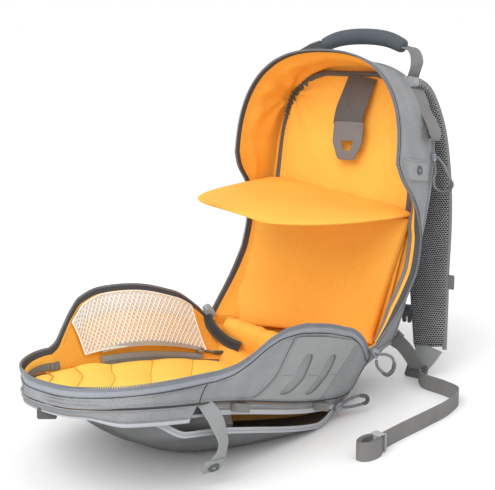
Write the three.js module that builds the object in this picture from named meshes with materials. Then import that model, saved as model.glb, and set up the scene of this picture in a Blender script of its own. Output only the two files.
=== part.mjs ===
// A grey backpack with an orange lining, standing open like a clamshell.
// Millimetres, +Z up, +X to the wearer's left side, -Y to the front.
// The body stands on its rounded bottom and leans back. The lid is folded down on the hinge line
// and rests on the belly of its front pocket. Both halves are built flat, each in its own group:
// the body in (across u, up v, forward w) and the lid in (across u, toward the tip t, inward n).
import * as THREE from "three";

const { degToRad, lerp, smoothstep, clamp } = THREE.MathUtils;

// Driving dimensions of the pack as it stands.
const BODY_LEAN = degToRad(8.13);
const LID_TILT = degToRad(12);
const HINGE_DEPTH = 139;
const FLOOR = -20;

// Thicknesses of the cloth, foam and webbing, and the gap between sewn layers.
const WALL = 2;
const LINING = 1;
const TAPE_WIDTH = 11;
const TAPE = 1.2;
const WEBBING = 1.6;
const WEBBING_WIDTH = 22;
const BACK_PAD = 12;
const STRAP_PAD = 12;
const GAP = 0.4;

// Body sections from the zip ends up to the arch: half widths at the back and at the rim, rim depth.
const BODY_SECTIONS = [
  { v: 60, back: 96, rim: 138, depth: 129 },
  { v: 82, back: 102, rim: 142, depth: 108 },
  { v: 110, back: 108, rim: 146, depth: 82 },
  { v: 138, back: 113, rim: 148, depth: 62 },
  { v: 168, back: 119, rim: 149, depth: 47 },
  { v: 205, back: 124, rim: 148, depth: 42 },
  { v: 240, back: 128, rim: 143, depth: 48 },
  { v: 263, back: 130, rim: 140, depth: 64 },
  { v: 286, back: 131, rim: 137, depth: 90 },
  { v: 306, back: 131, rim: 134, depth: 103 },
];
const BODY_ARCH = { start: 306, backTop: 456, rimTop: 452, backPower: 3.8, rimPower: 2.5, depth: 105 };

// Lid sections from the zip ends to the arch: half widths at the floor and at the rim, wall height.
const LID_SECTIONS = [
  { t: -10, base: 108, rim: 134, rise: 54 },
  { t: 25, base: 122, rim: 140, rise: 78 },
  { t: 70, base: 131, rim: 146, rise: 96 },
  { t: 140, base: 135, rim: 160, rise: 103 },
  { t: 195, base: 136, rim: 168, rise: 100 },
  { t: 230, base: 136, rim: 165, rise: 90 },
  { t: 250, base: 136, rim: 158, rise: 75 },
  { t: 270, base: 135, rim: 150, rise: 54 },
  { t: 290, base: 135, rim: 142, rise: 39 },
  { t: 312, base: 134, rim: 136, rise: 32 },
];
const LID_ARCH = { start: 312, tip: 452, power: 2.5, tipRise: 20 };
const LID_FLOOR = 2;
const LID_DROOP = 8;
const LID_ROLL = 11;
const LID_SKEW = { slope: 0.35, from: 57, reach: 130, start: 250, end: 430 };

// The bottom, from the back panel to the lid: the seam at the side and the middle of each section.
const BOTTOM_SECTIONS = [
  { half: 96, edgeY: 145, edgeZ: 39.4, midY: 145, midZ: 33 },
  { half: 103, edgeY: 123, edgeZ: 42.4, midY: 128, midZ: 2 },
  { half: 111, edgeY: 101.5, edgeZ: 45.6, midY: 104, midZ: -15 },
  { half: 125, edgeY: 56.9, edgeZ: 52, midY: 66, midZ: -22 },
  { half: 136, edgeY: 27, edgeZ: 56, midY: 32, midZ: -24 },
  { half: 123, edgeY: 20, edgeZ: 30, midY: 14, midZ: -24 },
  { half: 110, edgeY: 13, edgeZ: 1, midY: -2, midZ: -22 },
  { half: 112, edgeY: -17.5, edgeZ: -10, midY: -20, midZ: -19 },
];
const BOTTOM_POWER = 2.8;

// The flat sleeve on the back: half width and depth of its face at each height.
const SLEEVE_SECTIONS = [
  { v: 62, half: 84, depth: 15.6 },
  { v: 105, half: 93, depth: 20 },
  { v: 150, half: 103, depth: 22 },
  { v: 255, half: 116, depth: 22 },
  { v: 343, half: 112, depth: 22 },
  { v: 380, half: 104, depth: 22 },
  { v: 410, half: 86, depth: 22 },
  { v: 424, half: 68, depth: 22 },
  { v: 432, half: 44, depth: 22 },
];
const BINDING_WIDTH = 9;

// The padded divider and the shelf folded out of its top.
const DIVIDER_SECTIONS = [
  { v: 64, half: 78, depth: 32 },
  { v: 150, half: 97, depth: 34 },
  { v: 246, half: 119, depth: 32 },
];
const DIVIDER_PAD = 8;
const DIVIDER_SLANT = 14;
const SHELF = {
  back: 26,
  front: 220,
  half: 123,
  top: 259,
  drop: 31,
  slant: 16,
  twist: -8,
  skew: 33,
  power: 3.4,
  pad: 10,
};

// Front pocket under the lid: seam and piping heights, belly depth and how far the open zip gapes.
const POCKET = { seam: 1, piping: -14, belly: 58, gape: 22, start: 22, flapEnd: 0.368, inset: 7 };

// Shoulder strap, right side, from the yoke down to its end.
const STRAP_ROWS = [
  { x: 84, y: 204.8, z: 410, width: 56 },
  { x: 90, y: 213, z: 378, width: 58 },
  { x: 97, y: 224, z: 330, width: 60 },
  { x: 105, y: 228, z: 232, width: 60 },
  { x: 114, y: 216, z: 110, width: 57 },
  { x: 133, y: 191, z: 36, width: 50 },
];
const STRAP_END_ROWS = [
  { x: 133.1, y: 190.85, z: 35.6, width: 46 },
  { x: 129, y: 184, z: 18, width: 36 },
  { x: 124, y: 177, z: 4, width: 26 },
];
const ANCHOR_ROWS = [
  { x: 72, y: 150.3, z: 62, width: 34 },
  { x: 88, y: 150, z: 50, width: 32 },
  { x: 103, y: 153, z: 40, width: 26 },
];
const LOWER_WEBBING_ROWS = [
  { x: 107.6, y: 155.2, z: 36.6, width: 22 },
  { x: 114, y: 159, z: 26, width: 22 },
  { x: 121, y: 164, z: 10, width: 22 },
  { x: 123, y: 167.9, z: -1.8, width: 22 },
];
const LOCK = { x: 123.5, y: 168.5, z: -8, width: 32, height: 18, depth: 5, bar: 4 };

// Free end of the right webbing, standing on its edge on the floor, from the lock to the roll.
const TAIL_ROWS = [
  { x: 131, y: 161, z: -9 },
  { x: 150, y: 138, z: -9 },
  { x: 190, y: 126, z: -9 },
  { x: 216, y: 112, z: -9 },
  { x: 228, y: 62, z: -9 },
  { x: 227, y: 12, z: -9 },
  { x: 223, y: -50, z: -9 },
  { x: 221, y: -98.8, z: -9 },
];
const HIDDEN_TAIL_ROWS = [
  { x: -141, y: 168, z: -9 },
  { x: -153, y: 184, z: -9 },
  { x: -156, y: 215, z: -9 },
  { x: -128, y: 240, z: -9 },
  { x: -84, y: 244, z: -9 },
];
const ROLL = { x: 219, y: -121, radiusX: 13, radiusY: 22, wall: 5 };

// Carrying handle: grip and the right-hand webbing, in body coordinates.
const GRIP_ROWS = [
  { u: -67, v: 470, w: 7 },
  { u: -40, v: 479, w: 7 },
  { u: 0, v: 482, w: 7 },
  { u: 40, v: 479, w: 7 },
  { u: 67, v: 470, w: 7 },
];
const GRIP_RADIUS = 11.5;
const HANDLE_ROWS = [
  { u: 67.5, v: 469.8, w: 7 },
  { u: 86, v: 462, w: 8 },
  { u: 100, v: 446, w: 13 },
];
const HANDLE_WALL = [
  { s: 0.6, h: 0.2 },
  { s: 0.625, h: 0.24 },
  { s: 0.65, h: 0.24 },
  { s: 0.672, h: 0.2 },
];

// Hanging strap and tab on the sleeve, in body coordinates.
const HANGER_ROWS = [
  { u: 22, v: 424, w: 24.8 },
  { u: 18, v: 400, w: 31 },
  { u: 12, v: 374, w: 35 },
  { u: 10, v: 354, w: 35.5 },
];
const HANGER_WIDTH = 48;
const TAB = { u: 14, top: 368, shoulder: 330, bottom: 306, half: 24, foot: 13, front: 36.8, thick: 1.8 };
const TAB_HOLE = { top: 331, bottom: 318, half: 9, foot: 5.5 };

// Snap strap hanging from the lid seam, from its seam to its folded end.
const SNAP_STRAP_ROWS = [
  { x: 135.4, y: -317, z: 84 },
  { x: 139.6, y: -313.5, z: 68 },
  { x: 143, y: -304, z: 44 },
  { x: 141, y: -297, z: 22 },
  { x: 133, y: -297, z: 4 },
  { x: 126, y: -299, z: -5 },
];
const SNAP_STRAP_WIDTH = 20;
const SNAP_RADIUS = 6.5;

// Pull loops of the zips, as routes of their cord.
const PULL_RADIUS = 1.9;
const MAIN_PULL = [
  { x: 142, y: 27.9, z: 53.4 },
  { x: 146, y: 33, z: 47 },
  { x: 153, y: 44, z: 37 },
  { x: 156, y: 51, z: 28 },
  { x: 151, y: 48, z: 24 },
  { x: 147, y: 38, z: 34 },
  { x: 144.4, y: 30, z: 44.6 },
];
const FRONT_PULL = [
  { x: 127.6, y: -34.9, z: 0.6 },
  { x: 132, y: -26, z: 5 },
  { x: 139, y: -10, z: 7 },
  { x: 143, y: 0, z: 3 },
  { x: 142, y: 2, z: -4 },
  { x: 137, y: -9, z: -6 },
  { x: 130, y: -28, z: -5.6 },
  { x: 127.6, y: -34.9, z: -3.9 },
];
const REAR_PULL = [
  { x: 138, y: 178.8, z: 294.5 },
  { x: 145, y: 179.4, z: 288 },
  { x: 155, y: 180, z: 273 },
  { x: 161, y: 180, z: 259 },
  { x: 155, y: 180, z: 254 },
  { x: 147, y: 179.6, z: 269 },
  { x: 138.4, y: 178.8, z: 286 },
];
const MESH_PULL = [
  { x: -117.6, y: -17.4, z: 23.2 },
  { x: -113, y: -6, z: 19 },
  { x: -108, y: 6, z: 16 },
  { x: -104, y: 20, z: 14 },
];

// Finishes.
const NYLON = { color: 0x969b9e, roughness: 0.85, metalness: 0 };
const ORANGE = { color: 0xffa53c, roughness: 0.85, metalness: 0 };
const QUILT = { color: 0xffc850, roughness: 0.85, metalness: 0 };
const ZIP_TAPE = { color: 0x8c94a0, roughness: 0.7, metalness: 0 };
const DARK_WEB = { color: 0x6b6966, roughness: 0.8, metalness: 0 };
const WEB = { color: 0x8c8a87, roughness: 0.8, metalness: 0 };
const AIR_MESH = { color: 0x5a5d60, roughness: 0.9, metalness: 0 };
const WHITE_MESH = { color: 0xf0efec, roughness: 0.7, metalness: 0 };
const BLACK_MESH = { color: 0x3a3a3a, roughness: 0.8, metalness: 0 };
const GRIP = { color: 0x555c64, roughness: 0.7, metalness: 0 };
const PLASTIC = { color: 0x5c6064, roughness: 0.5, metalness: 0 };
const ZIP_METAL = { color: 0x70747a, roughness: 0.4, metalness: 0.8 };

const pack = new THREE.Group();
const body = new THREE.Group();
body.rotation.x = -BODY_LEAN;
body.position.set(0, HINGE_DEPTH * Math.cos(BODY_LEAN), -HINGE_DEPTH * Math.sin(BODY_LEAN));
const lid = new THREE.Group();
lid.rotation.x = -LID_TILT;
pack.add(body, lid);

function addMesh(group, name, geometry, finish) {
  const mesh = new THREE.Mesh(geometry, new THREE.MeshStandardMaterial(finish));
  mesh.name = name;
  group.add(mesh);
  return mesh;
}

// One column of a table as a smooth function of another, without overshoot between the rows.
function column(rows, station, name) {
  const x = rows.map((row) => row[station]);
  const y = rows.map((row) => row[name]);
  const step = x.slice(1).map((value, i) => (y[i + 1] - y[i]) / (value - x[i]));
  const slope = x.map((_, i) => {
    const before = step[Math.max(i - 1, 0)];
    const after = step[Math.min(i, step.length - 1)];
    return before * after <= 0 ? 0 : (2 * before * after) / (before + after);
  });
  return (value) => {
    const inside = clamp(value, x[0], x[x.length - 1]);
    const i = clamp(x.findIndex((edge) => edge > inside) - 1, 0, x.length - 2);
    const k = inside >= x[x.length - 1] ? x.length - 2 : i;
    const width = x[k + 1] - x[k];
    const f = (inside - x[k]) / width;
    const rise = 3 * f * f - 2 * f * f * f;
    return (
      y[k] * (1 - rise) +
      y[k + 1] * rise +
      width * (slope[k] * f * (1 - f) * (1 - f) - slope[k + 1] * f * f * (1 - f))
    );
  };
}

// A closed solid between two grids of points. Cells that keep() refuses are left open.
function solidBetween(outerAt, innerAt, columns, rows, keep = () => true) {
  const points = [];
  const faces = [];
  const across = rows + 1;
  const sheet = (columns + 1) * across;
  for (const at of [outerAt, innerAt]) {
    for (let i = 0; i <= columns; i++) {
      for (let j = 0; j <= rows; j++) points.push(at(i / columns, j / rows));
    }
  }
  const kept = (i, j) => i >= 0 && j >= 0 && i < columns && j < rows && keep(i, j);
  const quad = (a, b, c, d) => faces.push(a, b, c, a, c, d);
  const rib = (a, b) => quad(b, a, a + sheet, b + sheet);
  for (let i = 0; i < columns; i++) {
    for (let j = 0; j < rows; j++) {
      if (!kept(i, j)) continue;
      const a = i * across + j;
      const b = a + across;
      quad(a, b, b + 1, a + 1);
      quad(a + sheet, a + 1 + sheet, b + 1 + sheet, b + sheet);
      if (!kept(i, j - 1)) rib(a, b);
      if (!kept(i + 1, j)) rib(b, b + 1);
      if (!kept(i, j + 1)) rib(b + 1, a + 1);
      if (!kept(i - 1, j)) rib(a + 1, a);
    }
  }
  return closedGeometry(points, faces);
}

// Points and triangles as a geometry whose faces point outward.
function closedGeometry(points, faces) {
  let volume = 0;
  for (let i = 0; i < faces.length; i += 3) {
    const [a, b, c] = [points[faces[i]], points[faces[i + 1]], points[faces[i + 2]]];
    volume += a.dot(new THREE.Vector3().crossVectors(b, c));
  }
  const turned = volume < 0 ? faces.slice().reverse() : faces;
  const geometry = new THREE.BufferGeometry().setFromPoints(points);
  geometry.setIndex(turned);
  geometry.computeVertexNormals();
  return geometry;
}

function normalAt(surface, s, h) {
  const e = 0.002;
  const along = surface(Math.min(s + e, 1), h).sub(surface(Math.max(s - e, 0), h));
  const across = surface(s, h + e).sub(surface(s, h - e));
  return across.cross(along).normalize();
}

// A cloth layer of a surface: at() picks the patch, outer and inner are offsets along the normal.
function clothLayer(surface, at, columns, rows, outer, inner, keep) {
  const offsetAt = (offset) => (a, b) => {
    const [s, h] = at(a, b);
    const distance = typeof offset === "function" ? offset(a, b) : offset;
    return surface(s, h).addScaledVector(normalAt(surface, s, h), distance);
  };
  return solidBetween(offsetAt(outer), offsetAt(inner), columns, rows, keep);
}

// A flat strap along points, its width laid along the side directions.
function ribbon(points, sides, widths, thickness, segments) {
  const curve = new THREE.CatmullRomCurve3(points, false, "centripetal");
  const pick = (list, a) => {
    const place = a * (list.length - 1);
    const i = Math.min(Math.floor(place), list.length - 2);
    return [list[i], list[i + 1], place - i];
  };
  const surface = (a, b) => {
    const held = clamp(a, 0, 1);
    const [before, after, f] = pick(sides, held);
    const [wide, next] = pick(widths, held);
    const side = before.clone().lerp(after, f).normalize();
    return curve.getPoint(held).addScaledVector(side, (b - 0.5) * lerp(wide, next, f));
  };
  return clothLayer(surface, (a, b) => [a, b], segments, 1, thickness / 2, -thickness / 2);
}

const placed = (row) => new THREE.Vector3(row.x, row.y, row.z);
const mirrored = (rows) => rows.map((row) => ({ ...row, x: -row.x }));
const onBody = (u, v, w) => new THREE.Vector3(u, -w, v);

function strapRibbon(rows, side, thickness, segments) {
  const points = rows.map(placed);
  const widths = rows.map((row) => row.width);
  return ribbon(points, rows.map(() => side), widths, thickness, segments);
}

// A round cord along a route.
function cord(rows, radius) {
  const section = new THREE.Shape().absarc(0, 0, radius, 0, 2 * Math.PI);
  const path = new THREE.CatmullRomCurve3(rows.map(placed), false, "centripetal");
  return new THREE.ExtrudeGeometry(section, { steps: rows.length + 4, curveSegments: 4, extrudePath: path });
}

// Two outlines with equal counts of points, joined into a plate.
function loftedPlate(front, back) {
  const count = front.length;
  const flat = front.map((point) => new THREE.Vector2(point.x, point.z));
  if (THREE.ShapeUtils.isClockWise(flat)) return loftedPlate(front.toReversed(), back.toReversed());
  const faces = [];
  for (const [a, b, c] of THREE.ShapeUtils.triangulateShape(flat, [])) {
    faces.push(a, b, c, a + count, c + count, b + count);
  }
  for (let i = 0; i < count; i++) {
    const next = (i + 1) % count;
    faces.push(next, i, i + count, next, i + count, next + count);
  }
  return closedGeometry([...front, ...back], faces);
}

function box(width, depth, height, x, y, z) {
  return new THREE.BoxGeometry(width, depth, height).translate(x, y, z);
}

// A round stud standing on a point along a direction.
function stud(radius, height, foot, direction) {
  const turn = new THREE.Quaternion().setFromUnitVectors(new THREE.Vector3(0, 1, 0), direction);
  const middle = foot.clone().addScaledVector(direction, height / 2);
  return new THREE.CylinderGeometry(radius, radius, height, 20)
    .applyQuaternion(turn)
    .translate(middle.x, middle.y, middle.z);
}

// Point of a superellipse at an angle, for the arch of the body and the lid.
function archPoint(angle, half, height, power) {
  const c = Math.cos(angle);
  const across = Math.sign(c) * half * Math.abs(c) ** (2 / power);
  return [across, height * Math.max(Math.sin(angle), 0) ** (2 / power)];
}

// Body wall: s runs from the left zip end over the arch to the right one, h from the back to the rim.
const BODY_SIDE = 0.32;
const bodyBack = column(BODY_SECTIONS, "v", "back");
const bodyRim = column(BODY_SECTIONS, "v", "rim");
const bodyDepth = column(BODY_SECTIONS, "v", "depth");

function bodyStation(s) {
  const side = s < 0.5 ? -1 : 1;
  const along = Math.min(s, 1 - s) / BODY_SIDE;
  if (along < 1) {
    const v = lerp(BODY_SECTIONS[0].v, BODY_ARCH.start, along);
    return { back: [side * bodyBack(v), v], rim: [side * bodyRim(v), v], depth: bodyDepth(v) };
  }
  const angle = Math.PI * (1 - (s - BODY_SIDE) / (1 - 2 * BODY_SIDE));
  const start = BODY_ARCH.start;
  const back = archPoint(angle, bodyBack(start), BODY_ARCH.backTop - start, BODY_ARCH.backPower);
  const rim = archPoint(angle, bodyRim(start), BODY_ARCH.rimTop - start, BODY_ARCH.rimPower);
  const depth = lerp(bodyDepth(start), BODY_ARCH.depth, Math.sin(angle));
  return { back: [back[0], start + back[1]], rim: [rim[0], start + rim[1]], depth };
}

function bodyWall(s, h) {
  const { back, rim, depth } = bodyStation(s);
  return onBody(lerp(back[0], rim[0], h), lerp(back[1], rim[1], h), h * depth);
}

const bodyShare = (s, distance) => distance / bodyStation(s).depth;
const BODY_COLUMNS = 48;

function addBodyShell() {
  const seam = TAPE_WIDTH + GAP;
  const gusset = (a, b) => [a, b * (1 - bodyShare(a, seam))];
  addMesh(body, "body_gusset", clothLayer(bodyWall, gusset, BODY_COLUMNS, 2, 0, -WALL), NYLON);
  const tape = (a, b) => [a, 1 - bodyShare(a, TAPE_WIDTH * (1 - b))];
  const tapeGeometry = clothLayer(bodyWall, tape, BODY_COLUMNS, 1, -GAP, -GAP - TAPE);
  addMesh(body, "body_zip_tape", tapeGeometry, ZIP_TAPE);
  const lining = (a, b) => [a, lerp(bodyShare(a, 16), 1 - bodyShare(a, TAPE_WIDTH + 2), b)];
  const inner = -WALL - 2 * GAP;
  const liningGeometry = clothLayer(bodyWall, lining, BODY_COLUMNS, 2, inner, inner - LINING);
  addMesh(body, "body_lining", liningGeometry, ORANGE);
}

// Outline just inside the body wall at a depth.
function bodyOutline(w, inset) {
  const loop = [];
  for (let i = 0; i <= BODY_COLUMNS; i++) {
    const s = i / BODY_COLUMNS;
    const h = bodyShare(s, w);
    loop.push(bodyWall(s, h).addScaledVector(normalAt(bodyWall, s, h), -inset));
    loop[i].y = -w;
  }
  return loop;
}

function addBack() {
  const inset = WALL + 3 * GAP;
  const pad = loftedPlate(bodyOutline(0.5, inset), bodyOutline(0.5 + BACK_PAD, inset));
  addMesh(body, "back_panel", pad, NYLON);
  const face = 0.5 + BACK_PAD + GAP;
  const sheet = loftedPlate(bodyOutline(face, inset), bodyOutline(face + LINING, inset));
  addMesh(body, "back_lining", sheet, ORANGE);
}

// The sleeve in front of the back lining and the elastic binding round its open edges.
const sleeveHalf = column(SLEEVE_SECTIONS, "v", "half");
const sleeveDepth = column(SLEEVE_SECTIONS, "v", "depth");
const SLEEVE_FOOT = SLEEVE_SECTIONS[0].v;
const SLEEVE_TOP = SLEEVE_SECTIONS[SLEEVE_SECTIONS.length - 1].v;

function addSleeve() {
  const face = (a, b) => {
    const v = lerp(SLEEVE_FOOT, SLEEVE_TOP, b);
    return onBody((2 * a - 1) * sleeveHalf(v), v, sleeveDepth(v));
  };
  const back = (a, b) => face(a, b).add(new THREE.Vector3(0, LINING, 0));
  addMesh(body, "rear_sleeve", solidBetween(face, back, 2, 14), ORANGE);

  const side = 0.42;
  const edge = (a) => {
    const up = Math.min(a, 1 - a) / side;
    const v = lerp(SLEEVE_FOOT, SLEEVE_TOP, Math.min(up, 1));
    const along = up < 1 ? Math.sign(a - 0.5) : lerp(-1, 1, (a - side) / (1 - 2 * side));
    return new THREE.Vector2(along * sleeveHalf(v), v);
  };
  const middle = new THREE.Vector2(0, 250);
  const strip = (lift) => (a, b) => {
    const outer = edge(a);
    const inward = middle.clone().sub(outer).setLength(BINDING_WIDTH * b);
    const [u, v] = outer.add(inward).toArray();
    return onBody(u, v, sleeveDepth(v) + lift);
  };
  const binding = solidBetween(strip(GAP + TAPE), strip(GAP), 34, 1);
  addMesh(body, "sleeve_binding", binding, DARK_WEB);
}

function addHanger() {
  const points = HANGER_ROWS.map((row) => onBody(row.u, row.v, row.w));
  const sides = HANGER_ROWS.map(() => new THREE.Vector3(1, 0, 0));
  const widths = HANGER_ROWS.map(() => HANGER_WIDTH);
  addMesh(body, "hanger_strap", ribbon(points, sides, widths, WEBBING, 10), DARK_WEB);

  const shape = new THREE.Shape([
    new THREE.Vector2(TAB.u - TAB.half, TAB.top),
    new THREE.Vector2(TAB.u - TAB.half, TAB.shoulder),
    new THREE.Vector2(TAB.u - TAB.foot, TAB.bottom),
    new THREE.Vector2(TAB.u + TAB.foot, TAB.bottom),
    new THREE.Vector2(TAB.u + TAB.half, TAB.shoulder),
    new THREE.Vector2(TAB.u + TAB.half, TAB.top),
  ]);
  shape.holes.push(
    new THREE.Path([
      new THREE.Vector2(TAB.u - TAB_HOLE.half, TAB_HOLE.top),
      new THREE.Vector2(TAB.u - TAB_HOLE.foot, TAB_HOLE.bottom),
      new THREE.Vector2(TAB.u + TAB_HOLE.foot, TAB_HOLE.bottom),
      new THREE.Vector2(TAB.u + TAB_HOLE.half, TAB_HOLE.top),
    ]),
  );
  const plate = new THREE.ExtrudeGeometry(shape, { depth: TAB.thick, bevelEnabled: false });
  plate.rotateX(Math.PI / 2).translate(0, -TAB.front, 0);
  addMesh(body, "hanger_tab", plate, DARK_WEB);
}

function addDivider() {
  const half = column(DIVIDER_SECTIONS, "v", "half");
  const depth = column(DIVIDER_SECTIONS, "v", "depth");
  const foot = DIVIDER_SECTIONS[0].v;
  const top = DIVIDER_SECTIONS[DIVIDER_SECTIONS.length - 1].v;
  const face = (a, b) => {
    const q = 2 * a - 1;
    const v = lerp(foot, top, b);
    return onBody(q * half(v), v - DIVIDER_SLANT * q * b, depth(v));
  };
  const level = (a, b) => {
    const point = face(a, b);
    point.y = -(DIVIDER_SECTIONS[0].depth - DIVIDER_PAD);
    return point;
  };
  addMesh(body, "divider_panel", solidBetween(face, level, 6, 8), ORANGE);

  const shelfFace = (sink) => (a, b) => {
    const reach = 0.985 * Math.sin((b * Math.PI) / 2);
    const q = 2 * a - 1;
    const u = q * SHELF.half * (1 - reach ** SHELF.power) ** (1 / SHELF.power) - SHELF.skew * reach;
    const v = SHELF.top - SHELF.drop * reach - (SHELF.slant + SHELF.twist * reach) * q - sink;
    return onBody(u, v, lerp(SHELF.back, SHELF.front, reach));
  };
  addMesh(body, "divider_shelf", solidBetween(shelfFace(0), shelfFace(SHELF.pad), 8, 7), ORANGE);
}

function addSnapTab() {
  const patch = (a, b) => [lerp(0.674, 0.712, a), lerp(0.4, 0.85, b)];
  const tab = clothLayer(bodyWall, patch, 4, 4, GAP + 1.6, GAP);
  addMesh(body, "snap_tab", tab, NYLON);
  const out = normalAt(bodyWall, 0.692, 0.62);
  const foot = bodyWall(0.692, 0.62).addScaledVector(out, 2 * GAP + 1.7);
  addMesh(body, "tab_snap", stud(SNAP_RADIUS, 2.4, foot, out), ZIP_METAL);
}

function addHandle() {
  const path = new THREE.CatmullRomCurve3(GRIP_ROWS.map((row) => onBody(row.u, row.v, row.w)));
  const section = new THREE.Shape().absarc(0, 0, GRIP_RADIUS, 0, 2 * Math.PI);
  const grip = new THREE.ExtrudeGeometry(section, { steps: 10, curveSegments: 6, extrudePath: path });
  addMesh(body, "handle_grip", grip, GRIP);

  const free = HANDLE_ROWS.map((row) => onBody(row.u, row.v, row.w));
  const sewn = HANDLE_WALL.map(({ s, h }) =>
    bodyWall(s, h).addScaledVector(normalAt(bodyWall, s, h), 2 * GAP + WEBBING),
  );
  const right = [...free, ...sewn];
  const left = right.map((point) => new THREE.Vector3(-point.x, point.y, point.z));
  const sides = right.map(() => new THREE.Vector3(0, -1, 0));
  const widths = right.map(() => WEBBING_WIDTH);
  addMesh(body, "handle_webbing_right", ribbon(right, sides, widths, WEBBING, 15), WEB);
  addMesh(body, "handle_webbing_left", ribbon(left, sides, widths, WEBBING, 15), WEB);
}

// Shoulder straps, their ends, locks and webbing, each made once for either side.
function addStraps() {
  const across = new THREE.Vector3(1, 0, 0);
  const sideways = new THREE.Vector3(0.6, 0.114, 0.8).normalize();
  for (const [name, turn] of [["right", (rows) => rows], ["left", mirrored]]) {
    const sign = name === "right" ? 1 : -1;
    const slant = new THREE.Vector3(sign * sideways.x, sideways.y, sideways.z);
    const strap = strapRibbon(turn(STRAP_ROWS), across, STRAP_PAD, 16);
    addMesh(pack, "shoulder_strap_" + name, strap, AIR_MESH);
    addMesh(pack, "strap_end_" + name, strapRibbon(turn(STRAP_END_ROWS), across, 3, 4), NYLON);
    addMesh(pack, "anchor_tab_" + name, strapRibbon(turn(ANCHOR_ROWS), slant, 2.4, 6), NYLON);
    addMesh(pack, "lower_webbing_" + name, strapRibbon(turn(LOWER_WEBBING_ROWS), across, WEBBING, 8), WEB);
    addMesh(pack, "ladder_lock_" + name, ladderLock(sign), PLASTIC);
  }
}

// A frame with two slots, through which the webbing runs.
function ladderLock(sign) {
  const half = LOCK.width / 2;
  const shape = new THREE.Shape();
  shape.moveTo(-half, -LOCK.height / 2).lineTo(half, -LOCK.height / 2);
  shape.lineTo(half, LOCK.height / 2).lineTo(-half, LOCK.height / 2);
  const slot = (LOCK.height - 3 * LOCK.bar) / 2;
  for (const middle of [-(LOCK.bar + slot) / 2, (LOCK.bar + slot) / 2]) {
    const reach = half - LOCK.bar;
    const hole = new THREE.Path();
    hole.moveTo(-reach, middle - slot / 2).lineTo(reach, middle - slot / 2);
    hole.lineTo(reach, middle + slot / 2).lineTo(-reach, middle + slot / 2);
    shape.holes.push(hole);
  }
  const frame = new THREE.ExtrudeGeometry(shape, { depth: LOCK.depth, bevelEnabled: false });
  frame.translate(0, 0, -LOCK.depth / 2).rotateX(degToRad(60));
  return frame.translate(sign * LOCK.x, LOCK.y, LOCK.z);
}

// Webbing ends that lie on the floor, standing on edge, and the roll of the right one.
function addTails() {
  const up = new THREE.Vector3(0, 0, 1);
  for (const [name, rows] of [["webbing_tail_right", TAIL_ROWS], ["webbing_tail_left", HIDDEN_TAIL_ROWS]]) {
    const points = rows.map(placed);
    const widths = rows.map(() => WEBBING_WIDTH);
    addMesh(pack, name, ribbon(points, rows.map(() => up), widths, WEBBING, 18), WEB);
  }
  const oval = new THREE.Shape().absellipse(0, 0, ROLL.radiusX, ROLL.radiusY, 0, 2 * Math.PI);
  const eye = new THREE.Path();
  eye.absellipse(0, 0, ROLL.radiusX - ROLL.wall, ROLL.radiusY - ROLL.wall, 0, 2 * Math.PI);
  oval.holes.push(eye);
  const tall = { depth: WEBBING_WIDTH, bevelEnabled: false, curveSegments: 10 };
  const roll = new THREE.ExtrudeGeometry(oval, tall);
  addMesh(pack, "tail_roll", roll.translate(ROLL.x, ROLL.y, FLOOR), WEB);
}

// Small pieces on the right strap.
function addStrapFittings() {
  addMesh(pack, "sternum_buckle", box(14, 9, 24, 87.2, 202, 64), PLASTIC);
  addMesh(pack, "strap_tag", box(9, 1.6, 20, 148, 217, 116), NYLON);
}

// The rounded bottom between the body and the lid, flattened where it stands.
const bottomColumn = (name) => {
  const rows = BOTTOM_SECTIONS.map((row, i) => ({ ...row, p: i / (BOTTOM_SECTIONS.length - 1) }));
  return column(rows, "p", name);
};
const bottom = {
  half: bottomColumn("half"),
  edgeY: bottomColumn("edgeY"),
  edgeZ: bottomColumn("edgeZ"),
  midY: bottomColumn("midY"),
  midZ: bottomColumn("midZ"),
};

function bottomWall(p, q) {
  const angle = (clamp(q, 0, 1) - 0.5) * Math.PI;
  const across = Math.sign(angle) * Math.abs(Math.sin(angle)) ** (2 / BOTTOM_POWER);
  const climb = 1 - Math.abs(Math.cos(angle)) ** (2 / BOTTOM_POWER);
  const y = lerp(bottom.midY(p), bottom.edgeY(p), climb);
  const z = lerp(bottom.midZ(p), bottom.edgeZ(p), climb);
  return new THREE.Vector3(across * bottom.half(p), y, Math.max(z, FLOOR));
}

function addBottom() {
  const whole = (a, b) => [a, lerp(0.005, 0.995, b)];
  const columns = 14;
  const rows = 12;
  addMesh(pack, "bottom_panel", clothLayer(bottomWall, whole, columns, rows, 0, -WALL), NYLON);
  const part = (a, b) => whole((2 + a * (columns - 5)) / columns, (1 + b * (rows - 2)) / rows);
  const inner = -WALL - 2 * GAP;
  const puff = (a, b) => inner - 2 - 2 * Math.abs(Math.sin(3 * Math.PI * b));
  const lining = clothLayer(bottomWall, part, columns - 5, rows - 2, inner, puff);
  addMesh(pack, "bottom_lining", lining, ORANGE);
}

// Lid wall: s runs from the right zip end round the tip to the left one, h from the floor to the rim.
const LID_SIDE = 0.34;
const lidBase = column(LID_SECTIONS, "t", "base");
const lidRim = column(LID_SECTIONS, "t", "rim");
const lidRise = column(LID_SECTIONS, "t", "rise");
const lidStart = LID_SECTIONS[0].t;

// The soft lid rolls a little toward the far side and droops at its tip.
function lidBend(u, t) {
  const droop = LID_DROOP * clamp((t - LID_ARCH.start) / (LID_ARCH.tip - LID_ARCH.start), 0, 1) ** 2;
  return LID_ROLL * (u / 135) * smoothstep(t, 100, 310) - droop;
}

// Its far corner is drawn back, so that the tip runs aslant.
function lidSkew(u, t) {
  const drawn = LID_SKEW.slope * clamp(LID_SKEW.from - u, 0, LID_SKEW.reach);
  return drawn * smoothstep(t, LID_SKEW.start, LID_SKEW.end);
}

const onLid = (u, t, n) => new THREE.Vector3(u, lidSkew(u, t) - t, n + lidBend(u, t));

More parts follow.
